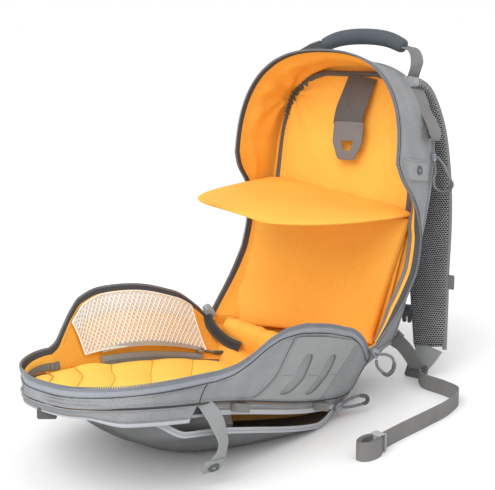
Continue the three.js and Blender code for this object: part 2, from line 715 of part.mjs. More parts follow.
function lidStation(s) {
  const side = s < 0.5 ? 1 : -1;
  const along = Math.min(s, 1 - s) / LID_SIDE;
  if (along < 1) {
    const t = lerp(lidStart, LID_ARCH.start, along);
    return { base: side * lidBase(t), rim: side * lidRim(t), t, rise: lidRise(t) };
  }
  const angle = (Math.PI * (s - LID_SIDE)) / (1 - 2 * LID_SIDE);
  const start = LID_ARCH.start;
  const [base, reach] = archPoint(angle, lidBase(start), LID_ARCH.tip - start, LID_ARCH.power);
  const rim = (base * lidRim(start)) / lidBase(start);
  const rise = LID_ARCH.tipRise + (lidRise(start) - LID_ARCH.tipRise) * (1 - Math.sin(angle)) ** 1.5;
  return { base, rim, t: start + reach, rise };
}

function lidWall(s, h) {
  const { base, rim, t, rise } = lidStation(s);
  return onLid(lerp(base, rim, h), t, LID_FLOOR + h * rise);
}

const lidShare = (s, distance) => distance / lidStation(s).rise;
const lidPlace = (t, side) => {
  const along = (LID_SIDE * (t - lidStart)) / (LID_ARCH.start - lidStart);
  return side > 0 ? along : 1 - along;
};
const LID_COLUMNS = 52;

// Half width of the lid's floor outline, drawn in by an inset, at a distance from the hinge.
function lidHalf(t, inset) {
  if (t <= LID_ARCH.start) return lidBase(t) - inset;
  const reach = Math.min((t - LID_ARCH.start) / (LID_ARCH.tip - inset - LID_ARCH.start), 1);
  return (lidBase(LID_ARCH.start) - inset) * (1 - reach ** LID_ARCH.power) ** (1 / LID_ARCH.power);
}

function addLidShell() {
  const seam = TAPE_WIDTH + GAP;
  const gusset = (a, b) => [a, b * (1 - lidShare(a, seam))];
  addMesh(lid, "lid_gusset", clothLayer(lidWall, gusset, LID_COLUMNS, 2, 0, -WALL), NYLON);
  const tape = (a, b) => [a, 1 - lidShare(a, TAPE_WIDTH * (1 - b))];
  const tapeGeometry = clothLayer(lidWall, tape, LID_COLUMNS, 1, -GAP, -GAP - TAPE);
  addMesh(lid, "lid_zip_tape", tapeGeometry, ZIP_TAPE);
  const lining = (a, b) => [a, lerp(lidShare(a, 3.5), 1 - lidShare(a, TAPE_WIDTH + 2), b)];
  const inner = -WALL - 2 * GAP;
  const liningGeometry = clothLayer(lidWall, lining, LID_COLUMNS, 2, inner, inner - LINING);
  addMesh(lid, "lid_lining", liningGeometry, ORANGE);
}

// A sheet inside the lid's outline: columns run across, rows from the hinge to the tip.
function lidSheet(inset, from, heightAt) {
  const to = LID_ARCH.tip - inset - 3;
  return (a, b) => {
    const t = lerp(from, to, Math.sin((b * Math.PI) / 2));
    const q = 2 * a - 1;
    const u = q * lidHalf(t, inset);
    return onLid(u, t, heightAt(q, t, u));
  };
}

function addLidFloor() {
  const level = (height) => lidSheet(WALL + 3 * GAP, 6, () => height);
  addMesh(lid, "lid_panel", solidBetween(level(3.4), level(0.8), 4, 14), ORANGE);

  // Diagonal quilting seams cross the pocket, with a puff between each two.
  const seamPitch = 54;
  const puff = (q, t, u) => {
    const place = (0.794 * u - 0.607 * t) / seamPitch;
    const edge = Math.sqrt(Math.max(1 - q * q, 0)) * smoothstep(t, 30, 70) * (1 - smoothstep(t, 410, 440));
    return 4.6 + edge * (8 + 4 * Math.abs(Math.sin(Math.PI * place)));
  };
  const top = lidSheet(8, 30, puff);
  const foot = lidSheet(8, 30, () => 3.4 + 2 * GAP);
  addMesh(lid, "quilted_pocket", solidBetween(top, foot, 10, 14), QUILT);

  const inner = -WALL - LINING - 5 * GAP;
  const elastic = (a, b) => [lerp(0.53, 0.67, a), lerp(0.22, 0.5, b)];
  addMesh(lid, "pocket_elastic", clothLayer(lidWall, elastic, 10, 1, inner, inner - 1.6), DARK_WEB);
}

function addMeshPocket() {
  const inner = -WALL - LINING - 3 * GAP;
  const patch = (a, b) => [lidPlace(lerp(38, 236, a), -1), lerp(0.2, 0.84, b)];
  const belly = (lift) => (a, b) => inner - lift - 5 * Math.sin(Math.PI * a) * (1 - b);
  const mesh = clothLayer(lidWall, patch, 12, 4, belly(0), belly(LINING));
  addMesh(lid, "mesh_pocket", mesh, WHITE_MESH);
  const tape = (a, b) => [lidPlace(lerp(38, 230, a), -1), lerp(0.08, 0.17, b)];
  addMesh(lid, "mesh_zip_tape", clothLayer(lidWall, tape, 14, 1, inner, inner - TAPE), ZIP_TAPE);
  const place = lidPlace(26, -1);
  const seat = lidWall(place, 0.19).addScaledVector(normalAt(lidWall, place, 0.19), inner - 3.4);
  addMesh(lid, "mesh_slider", box(4, 9, 7, seat.x, seat.y, seat.z), ZIP_METAL);
}

// A panel with two long slots, laid over the near wall of the lid.
function addSlottedPanel() {
  const patch = (a, b) => [lidPlace(lerp(232, 44, a), 1), lerp(0.1, 0.84, b)];
  const slotted = (i, j) => !((i === 6 || i === 9) && j > 0 && j < 7);
  const panel = clothLayer(lidWall, patch, 15, 8, GAP + 1.4, GAP, slotted);
  addMesh(lid, "slotted_panel", panel, NYLON);
}

// Front pocket: side strip, set back along the open zip, and the sagging front panel.
function frontStrip(inset, low, high) {
  return (s, h) => {
    const { base, t } = lidStation(s);
    const out = Math.sign(base) * Math.max(Math.abs(base) - inset, 0);
    return onLid(out, t, lerp(low, high, h));
  };
}

function addFrontPocket() {
  const start = lidPlace(POCKET.start, 1);
  const wall = frontStrip(0, POCKET.piping, POCKET.seam);
  const closed = (a, b) => [lerp(POCKET.flapEnd, 1 - start, a), b];
  addMesh(lid, "front_pocket_wall", clothLayer(wall, closed, 34, 1, WALL, 0), NYLON);
  const setBack = frontStrip(POCKET.inset, POCKET.piping + 5.4, POCKET.seam - 1);
  const open = (a, b) => [lerp(start, POCKET.flapEnd - 0.01, a), b];
  addMesh(lid, "front_zip_strip", clothLayer(setBack, open, 14, 1, WALL, 0), NYLON);

  const floorAt = (t) => (FLOOR - t * Math.sin(LID_TILT)) / Math.cos(LID_TILT);
  const sag = (lift) => (q, t, u) => {
    const open = smoothstep(t, POCKET.start, 90) * (1 - smoothstep(t, 250, 345));
    const edge = POCKET.piping + 2.5 - (q > 0 ? POCKET.gape * open * q : 0);
    const belly = POCKET.belly * Math.sin(Math.PI * clamp((t - 10) / 438, 0, 1)) ** 0.7 * (1 - q * q);
    return Math.max(edge - belly, floorAt(t - lidSkew(u, t)) - lidBend(u, t)) + lift;
  };
  const face = (lift) => lidSheet(1.7, POCKET.start, sag(lift));
  addMesh(lid, "front_panel", solidBetween(face(0), face(WALL), 10, 14), NYLON);

  const meshFace = (shift) => (a, b) => onLid(96 + shift, lerp(60, 210, a), lerp(0.2, -26, b));
  addMesh(lid, "front_mesh", solidBetween(meshFace(0), meshFace(LINING), 6, 2), BLACK_MESH);
}

// Small pieces on the outside of the lid.
function addLidFittings() {
  const down = new THREE.Vector3(0, 0, 1);
  for (const [name, t] of [["side_loop_front", 262], ["side_loop_rear", 92]]) {
    const foot = lidHalf(t, POCKET.inset) + WALL + GAP + WEBBING / 2;
    const loop = [
      onLid(foot, t + 12, -4.6),
      onLid(foot + 8, t + 9, -4.6),
      onLid(foot + 13, t, -4.6),
      onLid(foot + 8, t - 8, -4.6),
      onLid(foot + 1, t - 6, -4.6),
    ];
    const widths = loop.map(() => 10);
    addMesh(lid, name, ribbon(loop, loop.map(() => down), widths, WEBBING, 10), WEB);
  }
  const tab = onLid(22, LID_ARCH.tip, POCKET.piping);
  addMesh(lid, "tip_tab", box(20, 12, 4, tab.x, tab.y - 4, tab.z - 2 - 2 * GAP), DARK_WEB);

  const along = new THREE.Vector3(0, 1, 0);
  const strap = SNAP_STRAP_ROWS.map(placed);
  const widths = strap.map(() => SNAP_STRAP_WIDTH);
  addMesh(pack, "snap_strap", ribbon(strap, strap.map(() => along), widths, WEBBING, 16), WEB);
  const out = new THREE.Vector3(0.82, 0, -0.57).normalize();
  const foot = placed({ x: 131.2, y: -298, z: -0.6 }).addScaledVector(out, 0.1);
  addMesh(pack, "strap_snap", stud(SNAP_RADIUS, 2.4, foot, out), ZIP_METAL);
}

function addZipFittings() {
  addMesh(pack, "main_slider_right", box(5, 13, 10, 141.2, 20, 57), ZIP_METAL);
  addMesh(pack, "main_slider_left", box(5, 13, 10, -141.2, 20, 57), ZIP_METAL);
  addMesh(pack, "main_pull", cord(MAIN_PULL, PULL_RADIUS), PLASTIC);
  addMesh(pack, "front_slider", box(6, 12, 7, 125.8, -42, -2), ZIP_METAL);
  addMesh(pack, "front_pull", cord(FRONT_PULL, PULL_RADIUS), PLASTIC);
  addMesh(body, "rear_slider", box(5, 6, 13, 134.2, -4, 319), ZIP_METAL);
  addMesh(pack, "rear_pull", cord(REAR_PULL, PULL_RADIUS), PLASTIC);
  addMesh(pack, "mesh_pull", cord(MESH_PULL, PULL_RADIUS), WEB);
}

addBodyShell();
addBack();
addSleeve();
addHanger();
addDivider();
addSnapTab();
addHandle();
addStraps();
addTails();
addStrapFittings();
addBottom();
addLidShell();
addLidFloor();
addMeshPocket();
addSlottedPanel();
addFrontPocket();
addLidFittings();
addZipFittings();

// The part's origin is the middle of its footprint on the floor, measured without the pull cords.
const CORDS = ["main_pull", "front_pull", "rear_pull", "mesh_pull"];
const backpack = new THREE.Group();
backpack.add(pack);
backpack.updateMatrixWorld(true);
const bounds = new THREE.Box3();
backpack.traverse((piece) => {
  if (piece.isMesh && !CORDS.includes(piece.name)) bounds.expandByObject(piece, true);
});
const centre = bounds.getCenter(new THREE.Vector3());
pack.position.set(-centre.x, -centre.y, -bounds.min.z);

export default backpack;
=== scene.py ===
"""An open grey backpack with an orange lining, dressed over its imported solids.

Shapes are worked out in millimetres about the hinge line, where the lid folds down from the body:
X across, Y to the back, Z up. The frame's own boxes say where that line lies in the part.
"""

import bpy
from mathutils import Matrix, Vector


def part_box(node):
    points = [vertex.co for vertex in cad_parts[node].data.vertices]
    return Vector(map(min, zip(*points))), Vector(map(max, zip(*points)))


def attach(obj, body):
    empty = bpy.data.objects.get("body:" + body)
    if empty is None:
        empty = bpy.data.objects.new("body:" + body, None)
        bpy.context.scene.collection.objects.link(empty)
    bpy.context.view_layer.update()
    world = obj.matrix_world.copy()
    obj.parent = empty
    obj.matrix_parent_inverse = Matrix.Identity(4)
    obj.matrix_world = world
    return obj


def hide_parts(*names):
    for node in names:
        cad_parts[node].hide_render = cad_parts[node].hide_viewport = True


bl_info = {
    "name": "Open Backpack", "version": (1, 0, 0), "blender": (4, 5, 0),
    "location": "View3D > Sidebar > Backpack",
    "description": "Dresses the packed solids of an open backpack in cloth, webbing, zips and nets",
    "category": "Object",
}

import math

import bmesh
import bpy
import numpy as np
from bpy.props import FloatProperty, FloatVectorProperty, PointerProperty
from mathutils import Vector, kdtree

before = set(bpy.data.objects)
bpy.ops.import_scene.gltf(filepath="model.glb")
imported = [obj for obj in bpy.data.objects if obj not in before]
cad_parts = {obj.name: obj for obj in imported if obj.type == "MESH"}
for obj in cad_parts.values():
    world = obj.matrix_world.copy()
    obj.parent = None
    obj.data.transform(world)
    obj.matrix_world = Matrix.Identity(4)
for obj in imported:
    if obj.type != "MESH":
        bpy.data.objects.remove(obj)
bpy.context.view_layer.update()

# Pose of the two halves, from the solids' own driving sizes.
BODY_LEAN = math.radians(8.13)
LID_TILT = math.radians(12)
HINGE_DEPTH = 139.0
FLOOR = -20.0
ROLL = {"x": 219.0, "y": -121.0, "z": -9.0, "across": 13.0, "along": 22.0}
roll_low, roll_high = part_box("tail_roll")
HINGE = (np.array(roll_low) + np.array(roll_high)) * 500 - np.array([ROLL["x"], ROLL["y"], ROLL["z"]])

# Camera in degrees and millimetres about the hinge, and the studio's light.
CAMERA = {"turn": 37.4, "rise": 10.9, "far": 1392, "target": (-3.5, -62, 195), "sensor": 36, "lens": 78.4}
SUN = {"energy": 1.8, "angle": 50, "toward": (-0.1, 0.9, -0.85)}
SKY = {"light": 0.9, "seen": 1.0}
GROUND = {"half": 60, "white": 0.96, "spread": 0.01, "rough": 0.9}


# Sizes and colours.


def length(label, words, millimetres):
    """A length that shows in the sidebar, given in millimetres."""
    return FloatProperty(name=label, description=words, default=millimetres / 1000, min=0, unit="LENGTH")


def colour(label, words, red, green, blue):
    """A colour that shows in the sidebar, as linear red, green and blue."""
    return FloatVectorProperty(
        name=label, description=words, default=(red, green, blue), subtype="COLOR", size=3, min=0, max=1
    )


class PackSizes(bpy.types.PropertyGroup):
    """Sizes of the cloth, webbing, zips and stitches."""

    cloth: length("Cloth", "Thickness of the outer cloth", 2.0)
    lining: length("Lining", "Thickness of the lining", 1.0)
    webbing: length("Webbing", "Thickness of the webbing", 1.6)
    webbing_width: length("Webbing width", "Width of the carrying webbing", 22.0)
    tape_width: length("Zip tape width", "Width of one side of the main zip's tape", 9.5)
    rim_width: length(
        "Rim tape", "Width of the body's side of the main zip tape, as seen from outside", 5.0
    )
    tooth_pitch: length("Tooth pitch", "Distance between two teeth of the main zip", 2.4)
    stitch: length("Stitch", "Length of one stitch", 2.4)
    stitch_pitch: length("Stitch pitch", "Distance between two stitches", 3.6)
    thread: length("Thread", "Thickness of the sewing thread", 0.55)
    net_pitch: length("Net pitch", "Width of one diamond of the white net", 7.6)
    net_thread: length("Net thread", "Thickness of the net's threads", 1.7)
    pull_cord: length("Pull cord", "Thickness of the cord of the zip pulls", 3.8)


class PackColours(bpy.types.PropertyGroup):
    """Colours of the finishes."""

    nylon: colour("Nylon", "Outer cloth", 0.312, 0.319, 0.326)
    # Front panel: the outer nylon darkened, as painted shade of the panel that lies under the lid.
    under: colour("Front panel", "Cloth of the panel that the lid lies on", 0.165, 0.168, 0.171)
    laminate: colour("Laminate", "Smooth slotted panel and tabs", 0.285, 0.294, 0.296)
    lining: colour("Lining", "Lining of both halves", 0.985, 0.472, 0.072)
    quilt: colour("Quilt", "Quilted pocket in the lid", 0.985, 0.610, 0.085)
    tape: colour("Zip tape", "Tape of the zips", 0.310, 0.328, 0.365)
    # The body's side of the main zip tape: the zip tape darkened, as painted shade along the body's rim.
    rim_tape: colour("Rim tape", "Tape along the body's rim", 0.105, 0.118, 0.135)
    # Tape inside the rims, the band inward of the near rim and the closed zip ends: the zip tape darkened,
    # as painted shade.
    inner_tape: colour("Inner tape", "Tape of the zips as seen from inside", 0.070, 0.080, 0.092)
    teeth: colour("Teeth", "Teeth of the zips", 0.200, 0.212, 0.235)
    # Near black: painted shade in the sunken seams of the outer cloth and in the gap behind the front flap.
    # The teeth at the closed zip ends take it too.
    seam: colour("Seam", "Sunken seams of the outer cloth", 0.055, 0.057, 0.060)
    elastic: colour("Elastic", "Elastic bindings and the hanging strap", 0.118, 0.112, 0.110)
    tab: colour("Tab", "Smooth tab of the hanging strap", 0.165, 0.155, 0.152)
    webbing: colour("Webbing", "Carrying webbing and loops", 0.205, 0.201, 0.196)
    # The piping's lighter grey also covers the cloth beside the front pocket's dark net, as painted light
    # there.
    piping: colour("Piping", "Light tape along the front pocket", 0.440, 0.455, 0.475)
    spacer: colour("Spacer mesh", "Air mesh of the shoulder straps", 0.285, 0.289, 0.293)
    # Darker orange: painted shade in the sunken seams of the quilted pocket.
    quilt_line: colour("Quilt seams", "Sunken seams of the quilted pocket", 0.720, 0.270, 0.030)
    veil: colour("Veil", "Thin cloth behind the white net", 0.990, 0.800, 0.600)
    net: colour("White net", "Net pocket in the lid", 0.980, 0.975, 0.965)
    dark_net: colour("Dark net", "Net inside the front pocket", 0.040, 0.040, 0.042)
    grip: colour("Grip", "Padded carrying grip", 0.084, 0.098, 0.112)
    plastic: colour("Plastic", "Moulded locks and the buckle", 0.085, 0.090, 0.094)
    metal: colour("Zip metal", "Sliders and snaps", 0.300, 0.318, 0.350)
    cord: colour("Pull cord", "Cord of the zip pulls", 0.200, 0.204, 0.210)


def millimetres(name):
    """A size from the sidebar, in millimetres."""
    return getattr(bpy.context.scene.pack_sizes, name) * 1000


# Tables of the shape.


def table(columns, *rows):
    """Rows of numbers under named columns, each column as an array."""
    return dict(zip(columns.split(), np.array(rows, float).T))


def between(x, y, slope, value):
    """A smooth curve through rows y at places x, with given slopes, at a value."""
    k = np.clip(np.searchsorted(x, value, side="right") - 1, 0, len(x) - 2)
    width = x[k + 1] - x[k]
    f = (value - x[k]) / width
    rise = f * f * (3 - 2 * f)
    lift = slope[k] * f * (1 - f) ** 2 - slope[k + 1] * f * f * (1 - f)
    return y[k] * (1 - rise) + y[k + 1] * rise + width * lift


def smooth(rows, station, name):
    """One column of a table as a smooth function of another, without overshoot between the rows."""
    x, y = rows[station], rows[name]
    step = np.diff(y) / np.diff(x)
    before, after = np.append(step[0], step), np.append(step, step[-1])
    total = np.where(before + after == 0, 1, before + after)
    slope = np.where(before * after > 0, 2 * before * after / total, 0)
    return lambda value: between(x, y, slope, np.clip(value, x[0], x[-1]))


BODY_SECTIONS = table(
    "v back rim depth",
    (60, 96, 138, 129),
    (82, 102, 142, 108),
    (110, 108, 146, 82),
    (138, 113, 148, 62),
    (168, 119, 149, 47),
    (205, 124, 148, 42),
    (240, 128, 143, 48),
    (263, 130, 140, 64),
    (286, 131, 137, 90),
    (306, 131, 134, 103),
)
BODY_ARCH = {
    "start": 306, "back_top": 447, "rim_top": 452, "back_power": 2.3, "rim_power": 2.5, "depth": 105
}
BODY_SIDE = 0.32

LID_SECTIONS = table(
    "t base rim rise",
    (-10, 108, 134, 54),
    (25, 122, 140, 78),
    (70, 131, 146, 96),
    (140, 135, 160, 103),
    (195, 136, 168, 100),
    (230, 136, 165, 90),
    (250, 136, 158, 75),
    (270, 135, 150, 54),
    (290, 135, 142, 39),
    (312, 134, 136, 32),
)
LID_ARCH = {"start": 312, "tip": 452, "power": 2.5, "tip_rise": 20}
LID_SIDE = 0.34
LID_FLOOR = 2.0
LID_DROOP = 8.0
LID_ROLL = 11.0
FAR_LEAN = 0.08
NEAR_DIP = 0.07
LID_SKEW = {"slope": 0.35, "from": 57, "reach": 130, "start": 250, "end": 430}

BOTTOM_SECTIONS = table(
    "p half edge_y edge_z mid_y mid_z",
    (0 / 7, 96, 145, 39.4, 145, 33),
    (1 / 7, 103, 123, 42.4, 128, 2),
    (2 / 7, 111, 101.5, 45.6, 104, -15),
    (3 / 7, 125, 56.9, 52, 66, -22),
    (4 / 7, 136, 27, 56, 32, -24),
    (5 / 7, 123, 20, 30, 14, -24),
    (6 / 7, 110, 13, 1, -2, -22),
    (7 / 7, 112, -17.5, -10, -20, -19),
)
BOTTOM_POWER = 1.5
INNER_TAPE = 0.7
PAD_CLEARANCE = 5.0

SLEEVE_SECTIONS = table(
    "v half depth",
    (62, 84, 15.6),
    (105, 93, 20),
    (150, 103, 22),
    (255, 116, 22),
    (343, 112, 22),
    (380, 104, 22),
    (410, 86, 22),
    (424, 68, 22),
    (432, 44, 22),
)
DIVIDER_SECTIONS = table("v half depth", (64, 78, 32), (150, 97, 34), (246, 119, 32))
DIVIDER_SLANT = 14.0
DIVIDER_FAR = table(
    "v u w",
    (52, -128, 98),
    (75, -129, 88),
    (95, -131, 74),
    (114, -134, 60),
    (134, -136, 50),
    (153, -138, 42),
    (192, -139, 35),
    (246, -136, 38),
)
SHELF = {
    "back": 26, "front": 220, "half": 123, "top": 259, "drop": 31,
    "slant": 16, "twist": -8, "skew": 33, "power": 3.4, "pad": 10, "end": 0.992,
}
PANEL = table(
    "h left slot_left slot_right right",
    (0.05, 247, 200, 146, 103),
    (0.12, 238, 193, 139, 96),
    (0.37, 221, 174, 115, 75),
    (0.65, 217, 171, 104, 53),
    (0.86, 214, 170, 101, 36),
)
SLOT = {"half": 13, "low": 0.11, "high": 0.65, "tack": 0.37}
BOTTOM_ROLL = table(
    "x y z wide tall",
    (-121, 37, 47, 20, 22),
    (-113, 40, 44, 30, 40),
    (-87, 47, 32, 33, 54),
    (-54, 54, 20, 33, 62),
    (-20, 61, 12, 31, 64),
    (20, 64, 10, 29, 62),
    (60, 60, 14, 27, 56),
    (90, 52, 28, 22, 34),
)
CLOSED_ZIP = table(
    "x y z",
    (-129, 6, 68), (-123, 5, 57), (-113, 9, 43.5), (-101.5, 17.5, 31), (-84.8, 26.6, 23.3),
)
POCKET = {
    "seam": 1, "piping": -14, "belly": 58, "gape": 22, "start": 22, "flap_end": 0.354, "inset": 7,
    "tuck": 8.5,
}

STRAP = table(
    "x y z width",
    (82, 180, 398, 40), (85, 192, 395, 50), (89, 206, 383, 57), (98, 222, 334, 60), (107, 228, 236, 60),
    (114, 216, 110, 57), (132, 190, 24, 48),
)
STRAP_END = table("x y z width", (131.5, 189.5, 25, 44), (128, 183, 10, 36), (124, 177, -2, 28))
ANCHOR = table("x y z width", (72, 150.3, 60, 30), (88, 150, 46, 28), (103, 153, 35, 25))
LOWER_WEBBING = table(
    "x y z",
    (97, 149.6, 40), (107.6, 154, 30), (114, 159, 20), (121, 164, 6), (123, 167.9, -3),
)
LOCK = {"x": 123.5, "y": 168.5, "z": -8, "width": 32, "height": 18, "depth": 5, "bar": 4, "lean": 60}
TAIL = table(
    "x y z",
    (131, 161, -9), (150, 138, -9), (190, 126, -9), (216, 112, -9), (228, 62, -9), (227, 12, -9),
    (223, -50, -9), (221, -98.8, -9),
)
HIDDEN_TAIL = table(
    "x y z",
    (-141, 168, -9), (-153, 184, -9), (-156, 215, -9), (-128, 240, -9), (-84, 244, -9),
)
GRIP_LINE = table("u v w", (-62, 470, 7), (-34, 479.5, 7), (6, 483, 7), (46, 479, 7), (75, 468, 7))
GRIP_RADIUS = 11.5
HANDLE_LINE = table("u v w", (74, 468.5, 6.5), (86.5, 465, 5.6), (94, 456, 7.2), (98.2, 443.3, 12.5))
HANDLE_FAR = table("u v w", (-61, 471, 7), (-84, 464.5, 7.5), (-103, 452, 10))
HANDLE_SEWN = table(
    "s h lift", (0.58, 0.07, 3.2), (0.594, 0.11, 2.6), (0.612, 0.15, 2.6), (0.624, 0.17, 2.6)
)
HANDLE_LOOP = table(
    "s h lift", (0.638, 0.18, 8), (0.652, 0.2, 13), (0.657, 0.21, 11), (0.656, 0.22, 5), (0.646, 0.22, 2.8)
)
HANGER_LINE = table("u v w", (22, 424, 24.8), (18, 400, 31), (12, 374, 35), (10, 354, 35.5))
HANGER_WIDTH = 48.0
TAB = {"u": 14, "top": 359, "shoulder": 330, "bottom": 306, "half": 24, "foot": 13, "front": 37.7}
TAB_HOLE = {"top": 331, "bottom": 318, "half": 9, "foot": 5.5}
SNAP_STRAP = table(
    "x y z turn",
    (129.5, -316, 82, 0), (136.2, -314.5, 76.5, 0.2), (143.5, -309, 62, 0.1), (145.9, -300.4, 39, -0.25),
    (141.3, -297, 23, -0.1), (134.6, -298.5, 9.5, 0.3), (126.8, -301.8, -0.5, 0.4),
)
MAIN_PULL = table(
    "x y z",
    (145.5, 19.7, 56), (154.2, 26.8, 55.6), (160.9, 30.9, 51.6), (164, 31.1, 43.7), (163, 28.2, 34.8),
    (158.4, 23.4, 29.8), (151.7, 19.5, 34.8), (146.8, 17.5, 41.2), (145.2, 17.7, 49),
)
FRONT_PULL = table(
    "x y z",
    (127.6, -34.9, 0.6), (132, -26, 5), (139, -10, 7), (143, 0, 3), (142, 2, -4), (137, -9, -6),
    (130, -28, -5.6), (127.6, -34.9, -3.9),
)
REAR_PULL = table(
    "x y z",
    (138.2, 179.9, 298), (146.8, 181.7, 288.2), (155.9, 183, 272.2), (161, 182.8, 260.3),
    (157.6, 181.1, 253.3), (149, 177.4, 250.2), (141, 175, 253.9), (136.5, 175.4, 264.6),
    (137.7, 178, 278.2), (134.9, 179, 290.3),
)
MESH_PULL = table("x y z", (-117.6, -17.4, 23.2), (-113, -6, 19), (-108, 6, 16), (-104, 20, 14))


# Surfaces of the pack.


def lerp(a, b, f):
    """A value between a and b."""
    return a + (b - a) * f


def ease(value, low, high):
    """0 below low, 1 above high and a smooth step between."""
    f = np.clip((value - low) / (high - low), 0, 1)
    return f * f * (3 - 2 * f)


def crown(q, power):
    """1 over the middle of -1 to 1, rounded off to 0 at both ends."""
    return np.sqrt(np.clip(1 - np.abs(q) ** power, 0, 1))


def points_of(x, y, z):
    """Separate coordinates as one array of points."""
    return np.stack(np.broadcast_arrays(x, y, z), axis=-1).astype(float)


def from_body(u, v, w):
    """Body coordinates, across, up and forward, as points about the hinge."""
    c, s = math.cos(BODY_LEAN), math.sin(BODY_LEAN)
    return points_of(u, (HINGE_DEPTH - w) * c + v * s, v * c + (w - HINGE_DEPTH) * s)


def lid_bend(u, t):
    """How far the soft lid rolls to its far side and droops at its tip."""
    droop = LID_DROOP * np.clip((t - LID_ARCH["start"]) / (LID_ARCH["tip"] - LID_ARCH["start"]), 0, 1) ** 2
    return LID_ROLL * (u / 135) * ease(t, 100, 310) - droop


def lid_skew(u, t):
    """How far the far corner of the lid's tip is drawn back."""
    drawn = LID_SKEW["slope"] * np.clip(LID_SKEW["from"] - u, 0, LID_SKEW["reach"])
    return drawn * ease(t, LID_SKEW["start"], LID_SKEW["end"])


def from_lid(u, t, n):
    """Lid coordinates, across, toward the tip and inward, as points about the hinge."""
    c, s = math.cos(LID_TILT), math.sin(LID_TILT)
    lifted = n + lid_bend(u, t)
    along = t - lid_skew(u, t)
    return points_of(u, lifted * s - along * c, along * s + lifted * c)


def arch(angle, half, height, power):
    """Point of a superellipse at an angle, across and up."""
    c = np.cos(angle)
    across = np.sign(c) * half * np.abs(c) ** (2 / power)
    return across, height * np.maximum(np.sin(angle), 0) ** (2 / power)


body_back = smooth(BODY_SECTIONS, "v", "back")
body_rim = smooth(BODY_SECTIONS, "v", "rim")
body_depth = smooth(BODY_SECTIONS, "v", "depth")


def body_station(s):
    """Back edge, rim edge and depth of the body wall, from the left zip end over the arch to the right."""
    s = np.asarray(s, float)
    start = BODY_ARCH["start"]
    side = np.where(s < 0.5, -1, 1)
    along = np.minimum(s, 1 - s) / BODY_SIDE
    v = lerp(BODY_SECTIONS["v"][0], start, np.clip(along, 0, 1))
    angle = np.clip(math.pi * (1 - (s - BODY_SIDE) / (1 - 2 * BODY_SIDE)), 0, math.pi)
    back = arch(angle, body_back(start), BODY_ARCH["back_top"] - start, BODY_ARCH["back_power"])
    rim = arch(angle, body_rim(start), BODY_ARCH["rim_top"] - start, BODY_ARCH["rim_power"])
    low = along < 1
    return {
        "back": (np.where(low, side * body_back(v), back[0]), np.where(low, v, start + back[1])),
        "rim": (np.where(low, side * body_rim(v), rim[0]), np.where(low, v, start + rim[1])),
        "depth": np.where(low, body_depth(v), lerp(body_depth(start), BODY_ARCH["depth"], np.sin(angle))),
    }


def body_wall(s, h):
    """Outer face of the body wall: h runs from the back to the rim."""
    at = body_station(s)
    u = lerp(at["back"][0], at["rim"][0], h)
    v = lerp(at["back"][1], at["rim"][1], h)
    return from_body(u, v, h * at["depth"])


def body_share(s, distance):
    """A distance from the back as a share of the wall."""
    return distance / body_station(s)["depth"]


def body_half(v, w):
    """Half width inside the body at a height and depth."""
    start = BODY_ARCH["start"]
    back_reach = np.clip((v - start) / (BODY_ARCH["back_top"] - start), 0, 1)
    rim_reach = np.clip((v - start) / (BODY_ARCH["rim_top"] - start), 0, 1)
    back = body_back(v) * (1 - back_reach ** BODY_ARCH["back_power"]) ** (1 / BODY_ARCH["back_power"])
    rim = body_rim(v) * (1 - rim_reach ** BODY_ARCH["rim_power"]) ** (1 / BODY_ARCH["rim_power"])
    return lerp(back, rim, w / np.where(v < start, body_depth(v), BODY_ARCH["depth"]))


lid_base = smooth(LID_SECTIONS, "t", "base")
lid_rim = smooth(LID_SECTIONS, "t", "rim")
lid_rise = smooth(LID_SECTIONS, "t", "rise")


def lid_station(s):
    """Floor edge, rim edge, place and rise of the lid wall, from the right zip end round the tip."""
    s = np.asarray(s, float)
    start = LID_ARCH["start"]
    side = np.where(s < 0.5, 1, -1)
    along = np.minimum(s, 1 - s) / LID_SIDE
    t = lerp(LID_SECTIONS["t"][0], start, np.clip(along, 0, 1))
    angle = np.clip(math.pi * (s - LID_SIDE) / (1 - 2 * LID_SIDE), 0, math.pi)
    base, reach = arch(angle, lid_base(start), LID_ARCH["tip"] - start, LID_ARCH["power"])
    rise = LID_ARCH["tip_rise"] + (lid_rise(start) - LID_ARCH["tip_rise"]) * (1 - np.sin(angle)) ** 1.5
    dip = NEAR_DIP * ease(t, 10, 90) * (1 - ease(t, 210, 300))
    lean = 1 - FAR_LEAN * ease(s, 0.49, 0.56) * (1 - ease(s, 0.66, 0.76))
    low = along < 1
    return {
        "base": np.where(low, side * lid_base(t), base) * lean,
        "rim": np.where(low, side * lid_rim(t), base * lid_rim(start) / lid_base(start)),
        "t": np.where(low, t, start + reach),
        "rise": np.where(low, lid_rise(t) * np.where(side > 0, 1 - dip, 1), rise),
    }


def lid_wall(s, h):
    """Outer face of the lid wall: h runs from the floor to the rim."""
    at = lid_station(s)
    return from_lid(lerp(at["base"], at["rim"], h), at["t"], LID_FLOOR + h * at["rise"])


def lid_share(s, distance):
    """A distance from the floor as a share of the wall."""
    return distance / lid_station(s)["rise"]


def lid_place(t, side):
    """Station of the lid wall at a distance from the hinge, on the right (1) or the left (-1)."""
    along = LID_SIDE * (t - LID_SECTIONS["t"][0]) / (LID_ARCH["start"] - LID_SECTIONS["t"][0])
    return along if side > 0 else 1 - along


def lid_half(t, inset):
    """Half width of the lid's floor outline, drawn in by an inset."""
    start = LID_ARCH["start"]
    reach = np.clip((t - start) / (LID_ARCH["tip"] - inset - start), 0, 1)
    return (lid_base(t) - inset) * (1 - reach ** LID_ARCH["power"]) ** (1 / LID_ARCH["power"])


